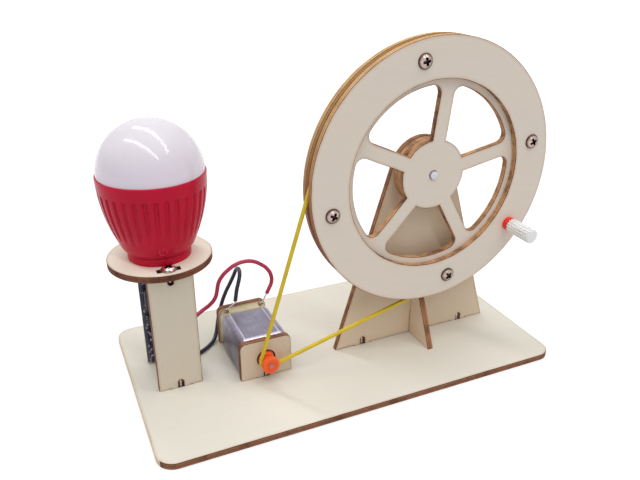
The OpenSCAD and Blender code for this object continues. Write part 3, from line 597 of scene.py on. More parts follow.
class Shape:
    """Points and faces that are gathered for one mesh."""

    def __init__(self):
        self.points, self.faces, self.parts, self.marks = [], [], [], {}

    def add(self, points, faces, part=0, place=None, marks=None):
        first = len(self.points)
        place, marks = place or Matrix.Identity(4), marks or {}
        self.points += [place @ Vector(p) for p in points]
        self.faces += [[first + i for i in face] for face in faces]
        self.parts += [part] * len(faces)
        for name in {**self.marks, **marks}:
            row = self.marks.setdefault(name, [0.0] * first)
            row += marks.get(name, [0.0] * len(points))
        return self

    def mesh(self, name, materials=(), crease=CREASE):
        made = bpy.data.meshes.new(name)
        made.from_pydata([p * MM for p in self.points], [], self.faces)
        for material in materials:
            made.materials.append(material)
        made.polygons.foreach_set("material_index", self.parts)
        for mark, values in self.marks.items():
            made.attributes.new(mark, "FLOAT", "POINT").data.foreach_set("value", values)
        smoothed(made, crease)
        made.update()
        return made


def smoothed(mesh, crease=CREASE):
    """Shades a mesh smooth up to its creases."""
    mesh.polygons.foreach_set("use_smooth", [True] * len(mesh.polygons))
    mesh.set_sharp_from_angle(angle=math.radians(crease))


def bridge(first, second, count):
    """Quads between two rings of points, by the index of their first points."""
    return [(first + i, first + (i + 1) % count, second + (i + 1) % count, second + i) for i in range(count)]


def cap(loops, up):
    """Triangles over loops of (first index, points), facing up or down."""
    flat = [[Vector((p[0], p[1], 0)) for p in points] for _, points in loops]
    index = [first + i for first, points in loops for i in range(len(points))]
    spot = [p for points in flat for p in points]
    faces = []
    for a, b, c in tessellate_polygon(flat):
        turn = (spot[b] - spot[a]).cross(spot[c] - spot[a]).z
        faces.append((index[a], index[b], index[c]) if (turn > 0) == up else (index[a], index[c], index[b]))
    return faces


def board(loops, place, scorched=None):
    """A board with scorched borders, from its outline and holes, the wood on their left.

    A loop may be (loop, flared loop, height): the flare is its outline at the underside.
    """
    edge = sizes().arris / MM
    wide, narrow = scorched or sizes().scorch / MM, sizes().hole_scorch / MM
    low, high, points, faces, parts = [], [], [], [], []
    layer, along, scorch, char = [], [], [], []
    for loop in loops:
        loop, flare, sink = loop if isinstance(loop, tuple) else (loop, loop, None)
        count, first, run = len(loop), len(points), [0.0]
        for i in range(1, count):
            run.append(run[-1] + (Vector(loop[i]) - Vector(loop[i - 1])).length)
        border = wide if run[-1] > SMALL_HOLE else narrow
        tight = [1.0 if hollow(loop, i) > TIGHT else 0.0 for i in range(count)]
        rings = [(flare, border, 0.0, 0.0), (flare, edge, 0.0, 1.0), (flare, 0.0, edge, 1.0)]
        if sink:
            rings.append((loop, 0.0, sink, 1.0))
        rings += [(loop, 0.0, PLY - edge, 1.0), (loop, edge, PLY, 1.0), (loop, border, PLY, 0.0)]
        for outline, step, z, burn in rings:
            points += [(p[0], p[1], z) for p in inset(outline, step)]
            layer += [z / PLY] * count
            along += run
            scorch += [burn] * count
            char += tight
        for k in range(len(rings) - 1):
            faces += bridge(first + k * count, first + (k + 1) * count, count)
            parts += [0 if k in (0, len(rings) - 2) else 1] * count
        low.append((first, points[first:first + count]))
        last = first + (len(rings) - 1) * count
        high.append((last, points[last:last + count]))
    tops = cap(high, True) + cap(low, False)
    marks = {"layer": layer, "along": along, "scorch": scorch, "char": char}
    shape = Shape().add(points, faces + tops, place=place, marks=marks)
    shape.parts = parts + [0] * len(tops)
    return shape


def lathe(profile, count=64, loop=False):
    """Points and faces of a profile of (radius, height), turned about Z."""
    points, rings, faces = [], [], []
    turns = [2 * math.pi * i / count for i in range(count)]
    for radius, height in profile:
        first = len(points)
        if radius == 0:
            points.append((0.0, 0.0, height))
        else:
            points += [(radius * math.cos(a), radius * math.sin(a), height) for a in turns]
        rings.append(list(range(first, len(points))))
    for a, b in zip(rings, rings[1:] + rings[:1] if loop else rings[1:]):
        for i in range(count):
            j = (i + 1) % count
            if len(a) == 1 and len(b) > 1:
                faces.append((a[0], b[j], b[i]))
            elif len(b) == 1 and len(a) > 1:
                faces.append((a[i], a[j], b[0]))
            elif len(a) > 1:
                faces.append((a[i], a[j], b[j], b[i]))
    return points, faces


def prism(outline, levels):
    """A closed bar from levels of (height, inset), one outline anticlockwise."""
    points, faces, count = [], [], len(outline)
    for height, step in levels:
        points += [(p[0], p[1], height) for p in inset(outline, step)]
    for k in range(len(levels) - 1):
        faces += bridge(k * count, (k + 1) * count, count)
    last = (len(levels) - 1) * count
    faces += cap([(0, points[:count])], False) + cap([(last, points[last:])], True)
    return points, faces


def block(low, high, bevel=0.2, segments=2):
    """A box between two corners with broken edges."""
    made = bmesh.new()
    bmesh.ops.create_cube(made, size=1.0)
    low, high = Vector(low), Vector(high)
    for v in made.verts:
        v.co = [(low[k] + high[k]) / 2 + v.co[k] * (high[k] - low[k]) for k in range(3)]
    bmesh.ops.bevel(made, geom=made.edges[:], offset=bevel, segments=segments, profile=0.5, affect="EDGES")
    made.verts.index_update()
    data = [v.co.copy() for v in made.verts], [[v.index for v in f.verts] for f in made.faces]
    made.free()
    return data


def tube(path, radius, sides):
    """A round bar with closed ends along a path."""
    path = [Vector(p) for p in path]
    points, faces, side = [], [], None
    for i, here in enumerate(path):
        ahead = (path[min(i + 1, len(path) - 1)] - path[max(i - 1, 0)]).normalized()
        side = ahead.orthogonal() if side is None else side - ahead * side.dot(ahead)
        side.normalize()
        over = ahead.cross(side)
        for k in range(sides):
            a = 2 * math.pi * k / sides
            points.append(here + (side * math.cos(a) + over * math.sin(a)) * radius)
    for i in range(len(path) - 1):
        faces += bridge(i * sides, (i + 1) * sides, sides)
    first, last = list(range(sides)), list(range((len(path) - 1) * sides, len(path) * sides))
    return points, faces + [first[::-1], last]


# Places for shapes

def basis(x, y, z, at=(0, 0, 0)):
    """Place of a shape whose three axes lie along those given."""
    made = Matrix((x, y, z)).transposed().to_4x4()
    made.translation = at
    return made


UPRIGHT = basis((1, 0, 0), (0, 0, 1), (0, -1, 0))


def forward(x, y, z):
    """Place of a shape whose Z points to the front."""
    return Matrix.Translation((x, y, z)) @ UPRIGHT


def at_rear(node, axis=None):
    """Place at a CAD node's rear, on an axis or else in its middle, with Z to the front."""
    middle = centre(node) if axis is None else axis
    return forward(middle.x, span(node)[1].y, middle.z)


def upright(x, y):
    """Place of a board drawn in X and Z that stands on the base, with its front face at y."""
    return forward(x, y + PLY, BASE_TOP)


def on_wheel(y):
    """Place of a board of the wheel, with its front face at y."""
    return (Matrix.Translation((AXLE.x, y + PLY, AXLE.z))
            @ Matrix.Rotation(-WHEEL_TURN, 4, "Y") @ UPRIGHT)


# Pieces

def linked(name, data):
    """A new object in the scene."""
    made = bpy.data.objects.new(name, data)
    bpy.context.scene.collection.objects.link(made)
    return made


def add_piece(name, data, node):
    """Puts a mesh or a curve into the scene as a piece, in place of a CAD node or else on the base."""
    made = linked(name, data)
    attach(made, frame["nodes"][node]["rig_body"] if node else "base")
    if node:
        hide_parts(node)
    return made


def add_shape(name, shape, node, slot, *materials, crease=CREASE):
    return add_piece(name, shape.mesh(name, materials, crease), node)


def add_turned(name, profile, node, slot, material, count=48, loop=True, axis=None):
    """Makes a piece of a profile that is turned about an axis, from a CAD node's rear to the front."""
    shape = Shape().add(*lathe(profile, count, loop), place=at_rear(node, axis))
    return add_shape(name, shape, node, slot, material)


def dress(node, material):
    """Gives a CAD node that stays its material."""
    data = frame["nodes"][node].data
    if not data.materials:
        data.materials.append(material)
    for i in range(len(data.materials)):
        data.materials[i] = material


def turned_out(mesh):
    """Turns a closed mesh the right way out."""
    made = bmesh.new()
    made.from_mesh(mesh)
    if made.calc_volume(signed=True) < 0:
        bmesh.ops.reverse_faces(made, faces=made.faces[:])
        made.to_mesh(mesh)
    made.free()
    return mesh


def cleaned(mesh, shortest=1e-7):
    """Takes edges shorter than that and faces without an area out of a mesh."""
    made = bmesh.new()
    made.from_mesh(mesh)
    bmesh.ops.dissolve_degenerate(made, dist=shortest, edges=made.edges[:])
    bmesh.ops.triangulate(made, faces=[face for face in made.faces if len(face.verts) > 4])
    made.to_mesh(mesh)
    made.free()
    return mesh


# Geometry Nodes

class GeometryTree(Nodes):
    """A Geometry Nodes tree with named inputs, which ends in Realize Instances and Set Material."""

    def __init__(self, name, **inputs):
        tree = bpy.data.node_groups.new(name, "GeometryNodeTree")
        super().__init__(tree)
        for label, kind in {"Geometry": "Geometry", **inputs, "Material": "Material"}.items():
            tree.interface.new_socket(label, in_out="INPUT", socket_type="NodeSocket" + kind)
        tree.interface.new_socket("Geometry", in_out="OUTPUT", socket_type="NodeSocketGeometry")
        self.given = self.node("NodeGroupInput").outputs

    def named(self, attribute):
        return self.first("GeometryNodeInputNamedAttribute", {"Name": attribute})

    def close(self, geometry):
        real = self.first("GeometryNodeRealizeInstances", {"Geometry": geometry})
        worn = self.first("GeometryNodeSetMaterial", {"Geometry": real, "Material": self.given["Material"]})
        self.node("NodeGroupOutput", {"Geometry": worn})
        return self


def grown(tree, mesh, name, **values):
    """Runs a tree on a mesh and returns the result as a plain mesh."""
    made = linked(name, mesh)
    modifier = made.modifiers.new(tree.tree.name, "NODES")
    modifier.node_group = tree.tree
    for item in tree.tree.interface.items_tree:
        if item.in_out == "INPUT" and item.name in values:
            modifier[item.identifier] = values[item.name]
    graph = bpy.context.evaluated_depsgraph_get()
    result = bpy.data.meshes.new_from_object(made.evaluated_get(graph))
    made.modifiers.remove(modifier)
    bpy.data.objects.remove(made)
    if not result.polygons:
        raise RuntimeError(f"{name}: the tree gave no faces")
    result.name = name
    return result


def fluted_tree(floor=0.36):
    """Presses round-ended flutes into the skin of a turned shape about Z.

    A flute is at its full depth as far from its middle as the floor's share of its width.
    """
    floats = dict.fromkeys(("Width", "Depth", "Low", "High", "Fade"), "Float")
    t = GeometryTree("Flutes", Count="Int", **floats)
    g = t.given
    at = t.axes(t.first("GeometryNodeInputPosition"))

    def both(a, b):
        return t.math("SQRT", t.math("ADD", t.math("MULTIPLY", a, a), t.math("MULTIPLY", b, b)))

    radius = both(at[0], at[1])
    turns = t.math("DIVIDE", t.math("ARCTAN2", at[1], at[0]), 2 * math.pi)
    # A hundred whole pitches keep the number above zero, and the half puts a flute where the angle is zero
    share = t.math("FRACT", t.math("ADD", t.math("MULTIPLY", turns, g["Count"]), 100.5))
    pitch = t.math("DIVIDE", t.math("MULTIPLY", radius, 2 * math.pi), g["Count"])
    aside = t.math("MULTIPLY", t.math("SUBTRACT", share, 0.5), pitch)
    past = t.math("MAXIMUM", t.math("SUBTRACT", at[2], g["High"]), t.math("SUBTRACT", g["Low"], at[2]))
    away = both(aside, t.math("MAXIMUM", past, 0.0))
    half = t.math("MULTIPLY", g["Width"], 0.5)
    press = t.remap(away, half, t.math("MULTIPLY", g["Width"], floor), smooth=True)
    fade = t.remap(at[2], t.math("SUBTRACT", g["Low"], half), t.math("ADD", g["Low"], g["Fade"]))
    skin = t.math("MULTIPLY", g["Depth"], t.named("skin"))
    depth = t.math("MULTIPLY", t.math("MULTIPLY", press, fade), skin)
    inward = t.math("DIVIDE", depth, t.math("MAXIMUM", radius, 1e-6))
    push = t.first("ShaderNodeVectorMath", {
        0: t.flat(at[0], at[1]), "Scale": t.math("MULTIPLY", inward, -1.0)}, operation="SCALE")
    return t.close(t.first("GeometryNodeSetPosition", {"Geometry": g["Geometry"], "Offset": push}))


def scatter_tree():
    """Sets a shape on every point, turned about its axis by the point's spin."""
    t = GeometryTree("Set on points", Shape="Object", Facing="Vector")
    thing = t.node("GeometryNodeObjectInfo", {"Object": t.given["Shape"]}, transform_space="ORIGINAL")
    turn = t.first("FunctionNodeAxisAngleToRotation", {"Axis": (0, 0, 1), "Angle": t.named("spin")})
    face = t.first("FunctionNodeEulerToRotation", {0: t.given["Facing"]})
    both = t.first("FunctionNodeRotateRotation", {
        "Rotation": turn, "Rotate By": face}, rotation_space="GLOBAL")
    points = t.first("GeometryNodeMeshToPoints", {"Mesh": t.given["Geometry"]})
    return t.close(t.first("GeometryNodeInstanceOnPoints", {
        "Points": points, "Instance": thing.outputs["Geometry"], "Rotation": both}))


def belt_tree():
    """Sweeps a square section with round edges along a flat closed line."""
    t = GeometryTree("Belt", Width="Float", Rounding="Float")
    g = t.given
    line = t.first("GeometryNodeMeshToCurve", {"Mesh": g["Geometry"]})
    line = t.first("GeometryNodeSetCurveNormal", {"Curve": line, "Normal": (0, 1, 0)}, mode="FREE")
    square = t.first("GeometryNodeCurvePrimitiveQuadrilateral", {"Width": g["Width"], "Height": g["Width"]})
    section = t.first("GeometryNodeFilletCurve", {
        "Curve": square, "Radius": g["Rounding"], "Count": 3}, mode="POLY")
    swept = t.first("GeometryNodeCurveToMesh", {"Curve": line, "Profile Curve": section})
    return t.close(t.first("GeometryNodeSetShadeSmooth", {"Geometry": swept}))


def set_on_points(name, template, spots, spins, facing, material):
    """A mesh of one template on many spots, in millimetres."""
    dots = bpy.data.meshes.new(name)
    dots.from_pydata([Vector(p) * MM for p in spots], [], [])
    dots.attributes.new("spin", "FLOAT", "POINT").data.foreach_set("value", spins)
    pattern = linked(name + "_pattern", template)
    made = grown(scatter_tree(), dots, name, Shape=pattern, Facing=facing, Material=material)
    bpy.data.objects.remove(pattern)
    return made


# Finishes by name

# Turn of the grain of a kind of board; the other kinds stand upright
GRAIN_TURN = {"base": (0, 0, 0.02), "shelf": (0, 0, 0.02), "wheel": (0, 0.2, 0)}
# Light and burnt colour and charring of the edges of a kind of board
EDGES = {
    "rim": ("rim_light", "rim_dark", 0.3),
    "wheel": ("wheel_light", "edge_dark", 0.95),
    "shelf": ("shelf_light", "edge_dark", 0.95),
    "stand": ("stand_light", "edge_dark", 0.65),
    **dict.fromkeys(("base", "post", "motor"), ("edge_light", "edge_dark", 0.65)),
}
# Where an edge changes: the rim below a height, the post above the shelf, and the base at its left end
EDGE_LIMITS = {
    "rim": {"burnt_below": AXLE.z + 30},
    "post": {"black_above": SHELF_TOP - 0.5},
    "base": {"sawn_left": BASE_LOW.x + 1},
}
# How far the stain and the painted shade of the wheel's groove reach into the boards beside it
STAIN_AND_SHADE_OVER = 0.5

# Name, colour of the settings, what is made of it, roughness, streaks and smudges of a metal
METALS = {
    "steel": ("turned steel", "steel", (0.6, 0.58, 0.58), 0.28, (0.0004, 0.006, 0.0004), 0.5),
    "axle": ("ground steel", "steel", (0.98, 0.96, 1.0), 0.3, (0.002, 0.006, 0.002), 0.2),
    "nickel": ("plated steel", "nickel", (1.0,), 0.2, 0.002, 0.35),
    # The shelf's screw has the same plating painted brighter: a painted reflection of the light above it.
    "bright": ("bright plated steel", "nickel", (1.7, 1.8, 1.9), 0.16, 0.002, 0.25),
    "brass": ("tarnished brass", "tinned", (0.55, 0.42, 0.3), 0.38, 0.001, 0.7),
    "solder": ("dull solder", "tinned", (0.3, 0.3, 0.33), 0.42, 0.001, 0.6),
    "tinned": ("tinned metal", "tinned", (1.0,), 0.3, 0.001, 0.4),
}
# Painted shade on a screw's head: what the dark reflection at its brim and the shade in its recess make of
# its plating
SCREW_PAINTED_SHADES = {
    "nickel": {"brim": (0.14, 0.1, 0.09), "recess": (0.07, 0.05, 0.06)},
    "bright": {"brim": (0.5, 0.42, 0.42), "recess": (0.12, 0.1, 0.11)},
}


def face_finish(kind):
    groove = None
    if kind == "wheel":
        near = span("wheel_front_ring")[1].y - STAIN_AND_SHADE_OVER
        far = span("wheel_rear_ring")[0].y + STAIN_AND_SHADE_OVER
        groove = tuple(v * MM for v in (AXLE.x, AXLE.z, DISC_R - STAIN_AND_SHADE_OVER, near, far))
    turn = GRAIN_TURN.get(kind, (0, QUARTER, 0))
    return finish("plywood " + kind, plywood_face, shade_of(kind + "_ply"), turn, groove)


def edge_finish(kind):
    light, dark, char = EDGES[kind]
    limits = {key: at * MM for key, at in EDGE_LIMITS.get(kind, {}).items()}
    return finish("cut edge " + kind, burnt_edge, shade_of(light), shade_of(dark), char, **limits)


def metal_finish(kind):
    name, key, change, rough, streak, smudge = METALS[kind]
    shade = shade_of(key)
    marks = [(mark, tone(shade, *other)) for mark, other in SCREW_PAINTED_SHADES.get(kind, {}).items()]
    return finish(name, worn_metal, tone(shade, *change), rough, streak, smudge, marks)


def plastic(name, key, *words, **facts):
    """Moulded plastic in a colour of the settings."""
    return finish(name, moulded, shade_of(key), *words, **facts)


def grip_plastic():
    return plastic("grip plastic", "grip_white", 0.36, 0.015, 0.03,
                   Subsurface_Weight=0.4, Subsurface_Radius=(1.0, 0.9, 0.9), Subsurface_Scale=0.002)


def add_board(name, node, loops, place, kind, edge=None, scorched=None):
    """Makes a board of one kind of plywood; the edge of its plain outline may be another's."""
    shape = board(loops, place, scorched)
    materials = [face_finish(kind), edge_finish(kind)]
    if edge:
        materials.append(edge_finish(edge))
        outline_rings = 6
        last = len(loops[0]) * outline_rings
        shape.parts = [2 if part == 1 and max(face) < last else part
                       for part, face in zip(shape.parts, shape.faces)]
    return add_shape(name, shape, node, "plywood", *materials)


# Outlines of the boards

# Countersink of the base's screws: height and radius at the underside
SINK_HIGH = 1.07
SINK_R = 2.45
# Bow of a mortise's long sides
MORTISE_BOW = 0.02


def slot_foot(x):
    """Foot of a board from left to right: its stub tab and the screw's slot in it."""
    half, top = SLOT_W / 2, SLOT_L - SLOT_W / 2
    over = arc((x, top), half, 180, 0, 8)
    return [(x - TAB_W / 2, 0), (x - TAB_W / 2, -STUB), (x - half, -STUB)] + over + [
        (x + half, -STUB), (x + TAB_W / 2, -STUB), (x + TAB_W / 2, 0)]


def plank_outline(width, height):
    half, deep = SLOT_W / 2, height - SLOT_L + SLOT_W / 2
    head = [(TAB_W / 2, height), (TAB_W / 2, height + PLY), (half, height + PLY)]
    head += arc((0, deep), half, 0, -180, 8)
    head += [(-half, height + PLY), (-TAB_W / 2, height + PLY), (-TAB_W / 2, height)]
    return ([(-width / 2, 0)] + slot_foot(0) + [(width / 2, 0), (width / 2, height)] + head
            + [(-width / 2, height)])


def stand_outline(foot, rise, head):
    touch = math.degrees(math.acos(head / math.hypot(foot, rise)) - math.atan2(rise, foot))
    notch, deep = PLY / 2 + FIT, CROSS_FRONT / 2
    return ([(-foot, 0)] + slot_foot(-STAND_TAB)
            + [(-notch, 0), (-notch, deep), (notch, deep), (notch, 0)]
            + slot_foot(STAND_TAB) + [(foot, 0)]
            + arc((0, rise), head, touch, 180 - touch, 32))


def motor_outline(width, height, radius):
    x, z = width / 2 - radius, height - radius
    return ([(-width / 2, 0)] + slot_foot(0) + [(width / 2, 0)]
            + arc((x, z), radius, 0, 90, 8) + arc((-x, z), radius, 90, 180, 8))


def mortise(x, y):
    """Hole for a tab, clockwise, with the flare of the screw's countersink below.

    Its long sides bow by a hair, so that no three of its corners lie on one line.
    """
    wide, deep = TAB_W / 2 + FIT, PLY / 2 + FIT
    row = [-wide] + [SINK_R * math.sin(math.radians(a)) for a in range(-90, 91, 15)] + [wide]
    plain, flare = [], []
    for sign in (1, -1):
        for u in row:
            side = deep + MORTISE_BOW * (1 - (u / wide) ** 2)
            swell = math.sqrt(max(0.0, SINK_R * SINK_R - u * u))
            plain.append((x + sign * u, y + sign * side))
            flare.append((x + sign * u, y + sign * max(side, swell)))
    return plain, flare, SINK_HIGH


def plain_mortise(x, y):
    wide, deep = TAB_W / 2 + FIT, PLY / 2 + FIT
    return [(x - wide, y - deep), (x - wide, y + deep), (x + wide, y + deep), (x + wide, y - deep)]


def window(turn, hub=16.6, rim=42.0, spoke=7.2, fillet=4.0, step=72.0):
    """Hole between two spokes, clockwise."""
    hub_a = math.degrees(math.asin(spoke / 2 / hub))
    deep = rim - fillet
    near = math.degrees(math.asin((spoke / 2 + fillet) / deep))
    far = step - near

    def spot(a):
        return (deep * math.cos(math.radians(a)), deep * math.sin(math.radians(a)))

    points = (arc((0, 0), hub, step - hub_a, hub_a, 16) + arc(spot(near), fillet, -90, near, 10)
              + arc((0, 0), rim, near, far, 24)[1:-1] + arc(spot(far), fillet, far, step + 90, 10))
    c, s = math.cos(math.radians(turn)), math.sin(math.radians(turn))
    return [(x * c - y * s, x * s + y * c) for x, y in points][::-1]


def rim_holes():
    """Holes of the rim's four screws and of the crank's pin."""
    holes = [circle((RIM_SCREW_R * math.cos(a), RIM_SCREW_R * math.sin(a)), SCREW_D / 2 + FIT, 20, True)
             for a in (0, math.pi / 2, math.pi, 1.5 * math.pi)]
    arm = Vector((CRANK.x - AXLE.x, CRANK.z - AXLE.z))
    a = math.atan2(arm.y, arm.x) - WHEEL_TURN
    return holes + [circle((arm.length * math.cos(a), arm.length * math.sin(a)), PIN_HOLE, 24, True)]


# Operators, one for each group of pieces

class MakeStage(bpy.types.Operator):
    """Sets up the camera, the floor, the even light and the two overhead strips"""

    bl_idname = "generator.stage"
    bl_label = "Stage"

    LENS, SENSOR = 37.37, 36.0
    EYE = (-0.12441, -0.26433, 0.19692)
    AHEAD, UP = Vector((0.37215, 0.82690, -0.42159)), Vector((0.17139, 0.38519, 0.90678))
    STRIPS = {"strip_right": (0.191, 0.113, 1.1), "strip_left": (-0.249, -0.367, 1.1)}
    STRIP_RUN = Vector((0.50, -0.866, 0))
    STRIP_LONG, STRIP_WIDE = 1.9, 0.08
    FLOOR_HALF, FLOOR_DROP = 6.0, 0.00002
    WHITE = (1, 1, 1, 1)

    def execute(self, context):
        scene, stage = context.scene, context.scene.generator_stage
        scene.view_settings.view_transform = "Standard"
        camera = linked("camera", bpy.data.cameras.new("camera"))
        camera.data.lens, camera.data.sensor_width = self.LENS, self.SENSOR
        camera.matrix_world = basis(self.AHEAD.cross(self.UP), self.UP, -self.AHEAD, self.EYE)
        scene.camera = camera

        world = bpy.data.worlds.new("even light")
        world.use_nodes = True
        scene.world = world
        sky = Nodes(world.node_tree)
        sky.feed(world.node_tree.nodes["Background"].inputs, {
            "Color": self.WHITE, "Strength": sky.remap(self.seen(sky), 0.0, 1.0, stage.sky, 1.0)})

        run = self.STRIP_RUN
        for name, middle in self.STRIPS.items():
            lamp = bpy.data.lights.new(name, "AREA")
            lamp.shape, lamp.size, lamp.size_y = "RECTANGLE", self.STRIP_LONG, self.STRIP_WIDE
            lamp.energy = stage.strip_power
            linked(name, lamp).matrix_world = basis(run, (-run.y, run.x, 0), (0, 0, 1), middle)

        floor, far = bpy.data.meshes.new("floor"), self.FLOOR_HALF
        corners = [(-far, -far, 0), (far, -far, 0), (far, far, 0), (-far, far, 0)]
        floor.from_pydata(corners, [], [(0, 1, 2, 3)])
        floor.materials.append(self.floor_finish(tuple(stage.floor)))
        made = linked("floor", floor)
        made.location.z = -self.FLOOR_DROP
        return {"FINISHED"}

    def seen(self, tree):
        """1 where the camera, a reflection or a view through something looks on."""
        path = tree.node("ShaderNodeLightPath").outputs
        return tree.math("MAXIMUM", path["Is Camera Ray"],
                         tree.math("MAXIMUM", path["Is Glossy Ray"], path["Is Transmission Ray"]))

    def floor_finish(self, shade):
        """White to the camera, and still a floor that takes the shadow."""
        f = Finish("floor")
        speck = f.noise(0.004, detail=1.0)
        glow = f.remap(f.reach(f.place), 0.25, 0.9, 0.5, 0.95, True)
        return f.set(Base_Color=f.mix(f.remap(speck, 0.4, 0.6), tone(shade, 0.985), shade), Roughness=0.9,
                     Specular_IOR_Level=0.0, Emission_Color=self.WHITE,
                     Emission_Strength=f.math("MULTIPLY", self.seen(f), glow))


class MakeWires(bpy.types.Operator):
    """Makes the motor's two wires, their bare ends and the lamp's leads"""

    bl_idname = "generator.wires"
    bl_label = "Wires"

    # Bare ends: radius of a strand, how far out it lies, length of one twist, and steps along it
    STRAND_R, STRAND_OUT, TWIST, STEPS = 0.16, 0.24, 3.2, 40
    DROP = [(0, -0.5), (0.3, -0.45), (0.5, -0.2), (0.56, 0.05), (0.42, 0.3), (0, 0.4)]

    def cord(self, name, points, width, material, node, slot):
        data = bpy.data.curves.new(name, "CURVE")
        data.dimensions, data.resolution_u = "3D", 8
        data.bevel_depth, data.bevel_resolution, data.use_fill_caps = width / 2 * MM, 4, True
        line = data.splines.new("BEZIER")
        line.bezier_points.add(len(points) - 1)
        for knot, point in zip(line.bezier_points, points):
            knot.co = Vector(point) * MM
            knot.handle_left_type = knot.handle_right_type = "AUTO"
        data.materials.append(material)
        return add_piece(name, data, node), line.calc_length()

    def bare_end(self, name, path, node):
        """Twisted strands along a path, drawn together to a soldered tip."""
        path = [Vector(p) for p in path]
        lengths = [(b - a).length for a, b in zip(path, path[1:])]
        total, count, shape = sum(lengths), sizes().strand_count, Shape()

        def at(share):
            left = share * total
            for a, b, size in zip(path, path[1:], lengths):
                if left <= size or b is path[-1]:
                    return a + (b - a) * (left / size)
                left -= size

        ahead = (path[-1] - path[0]).normalized()
        side = ahead.orthogonal().normalized()
        over = ahead.cross(side)
        for k in range(count):
            line = []
            for i in range(self.STEPS + 1):
                share = i / self.STEPS
                turn = 2 * math.pi * (k / count + share * total / self.TWIST)
                wide = self.STRAND_OUT * (1 - 0.25 * share)
                line.append(at(share) + (side * math.cos(turn) + over * math.sin(turn)) * wide)
            shape.add(*tube(line, self.STRAND_R, 7))
        place = Matrix.Translation(path[-1]) @ ahead.to_track_quat("Z", "Y").to_matrix().to_4x4()
        shape.add(*lathe(self.DROP, 16), place=place)
        return add_shape(name, shape, node, "tinned_copper", metal_finish("tinned"))

    def execute(self, context):
        def spot(p):
            return (MOTOR.x + p[0], p[1], BASE_TOP + p[2])

        red = plastic("red insulation", "wire_red", 0.36, 0.006)
        black = plastic("black insulation", "wire_black", 0.38, 0.006)
        width = sizes().wire_width
        jobs = (("red_lead", RED_ROUTE, RED_TIP, red, "red_wire", "lead_red"),
                ("black_lead", BLACK_ROUTE, BLACK_TIP, black, "black_wire", "lead_black"))
        for name, route, tip, material, node, slot in jobs:
            points = [spot(p) for p in route]
            made, real = self.cord(name, points, width / MM, material, node, slot)
            end = self.bare_end(name + "_bare_end", [spot(p) for p in tip], node + "_tip")
        for name, offset, material in (("lamp_lead_left", -1, red), ("lamp_lead_right", 1, black)):
            points = [(POST_X + offset, y, z) for y, z in LEAD_ROUTE]
            made, real = self.cord(name, points, LEAD_W, material, "lamp_leads", "lead_red")
        return {"FINISHED"}


class MakeBase(bpy.types.Operator):
    """Makes the base board with its mortises and countersinks"""

    bl_idname = "generator.base"
    bl_label = "Base board"

    CORNER = 8.0

    def execute(self, context):
        size = BASE_HIGH - BASE_LOW
        loops = [rounded(size.x, size.y, self.CORNER, 12)]
        loops += [mortise(x, y + PLY / 2) for x, y in BASE_SPOTS]
        add_board("base_board", "base_plate", loops, Matrix.Identity(4), "base")
        return {"FINISHED"}


class MakeUprights(bpy.types.Operator):
    """Makes the stand, the post's planks, the shelf and the motor's plates"""

    bl_idname = "generator.uprights"
    bl_label = "Upright boards"

    STAND_HEAD = 16.5
    CROSS_LEAN, CROSS_TALL, CROSS_SCORCH = 0.47, 38.0, 0.35
    SHELF_HOLE = 4.25
    MOTOR_HOLE, MOTOR_CORNER, MOTOR_SCORCH = 4.5, 3.0, 0.85

    def stand(self):
        low, high = span("stand_main_plate")
        rise = AXLE.z - BASE_TOP
        loops = [stand_outline((high.x - low.x) / 2, rise, self.STAND_HEAD),
                 circle((0, rise), AXLE_HOLE, 28, True)]
        add_board("stand_board", "stand_main_plate", loops, upright(STAND_X, STAND_Y), "stand")
        low, high = span("stand_cross_plate")
        front, back = CROSS_FRONT, high.z - BASE_TOP
        y0, y1 = STAND_Y - FIT, STAND_Y + PLY + FIT
        outline = [(low.y, 0), (high.y, 0), (high.y - self.CROSS_LEAN * self.CROSS_TALL, back), (y1, back),
                   (y1, front / 2), (y0, front / 2), (y0, front), (low.y + self.CROSS_LEAN * front, front)]
        place = basis((0, 1, 0), (0, 0, 1), (1, 0, 0), (low.x, 0, BASE_TOP))
        add_board("stand_cross_board", "stand_cross_plate", [outline], place, "stand",
                  scorched=self.CROSS_SCORCH)

    def execute(self, context):
        self.stand()
        for end in ("front", "rear"):
            node = f"post_{end}_plank"
            low, high = span(node)
            outline = plank_outline(high.x - low.x, SHELF_TOP - PLY - BASE_TOP)
            add_board(f"post_{end}_board", node, [outline], upright(POST_X, low.y), "post")
        low, high = span("lamp_shelf")
        middle = ((low + high) / 2).xy
        loops = [circle(middle, (high.x - low.x) / 2, 128)]
        loops += [plain_mortise(x, y + PLY / 2) for x, y in SHELF_SPOTS]
        loops.append(circle(middle, self.SHELF_HOLE, 32, True))
        add_board("shelf_board", "lamp_shelf", loops, Matrix.Translation((0, 0, low.z)), "shelf")
        for end in ("front", "rear"):
            node = f"motor_{end}_plate"
            low, high = span(node)
            loops = [motor_outline(high.x - low.x, high.z - BASE_TOP, self.MOTOR_CORNER),
                     circle((0, MOTOR.z - BASE_TOP), self.MOTOR_HOLE, 40, True)]
            add_board(f"motor_{end}_board", node, loops, upright(MOTOR.x, low.y), "motor",
                      scorched=self.MOTOR_SCORCH)
        return {"FINISHED"}


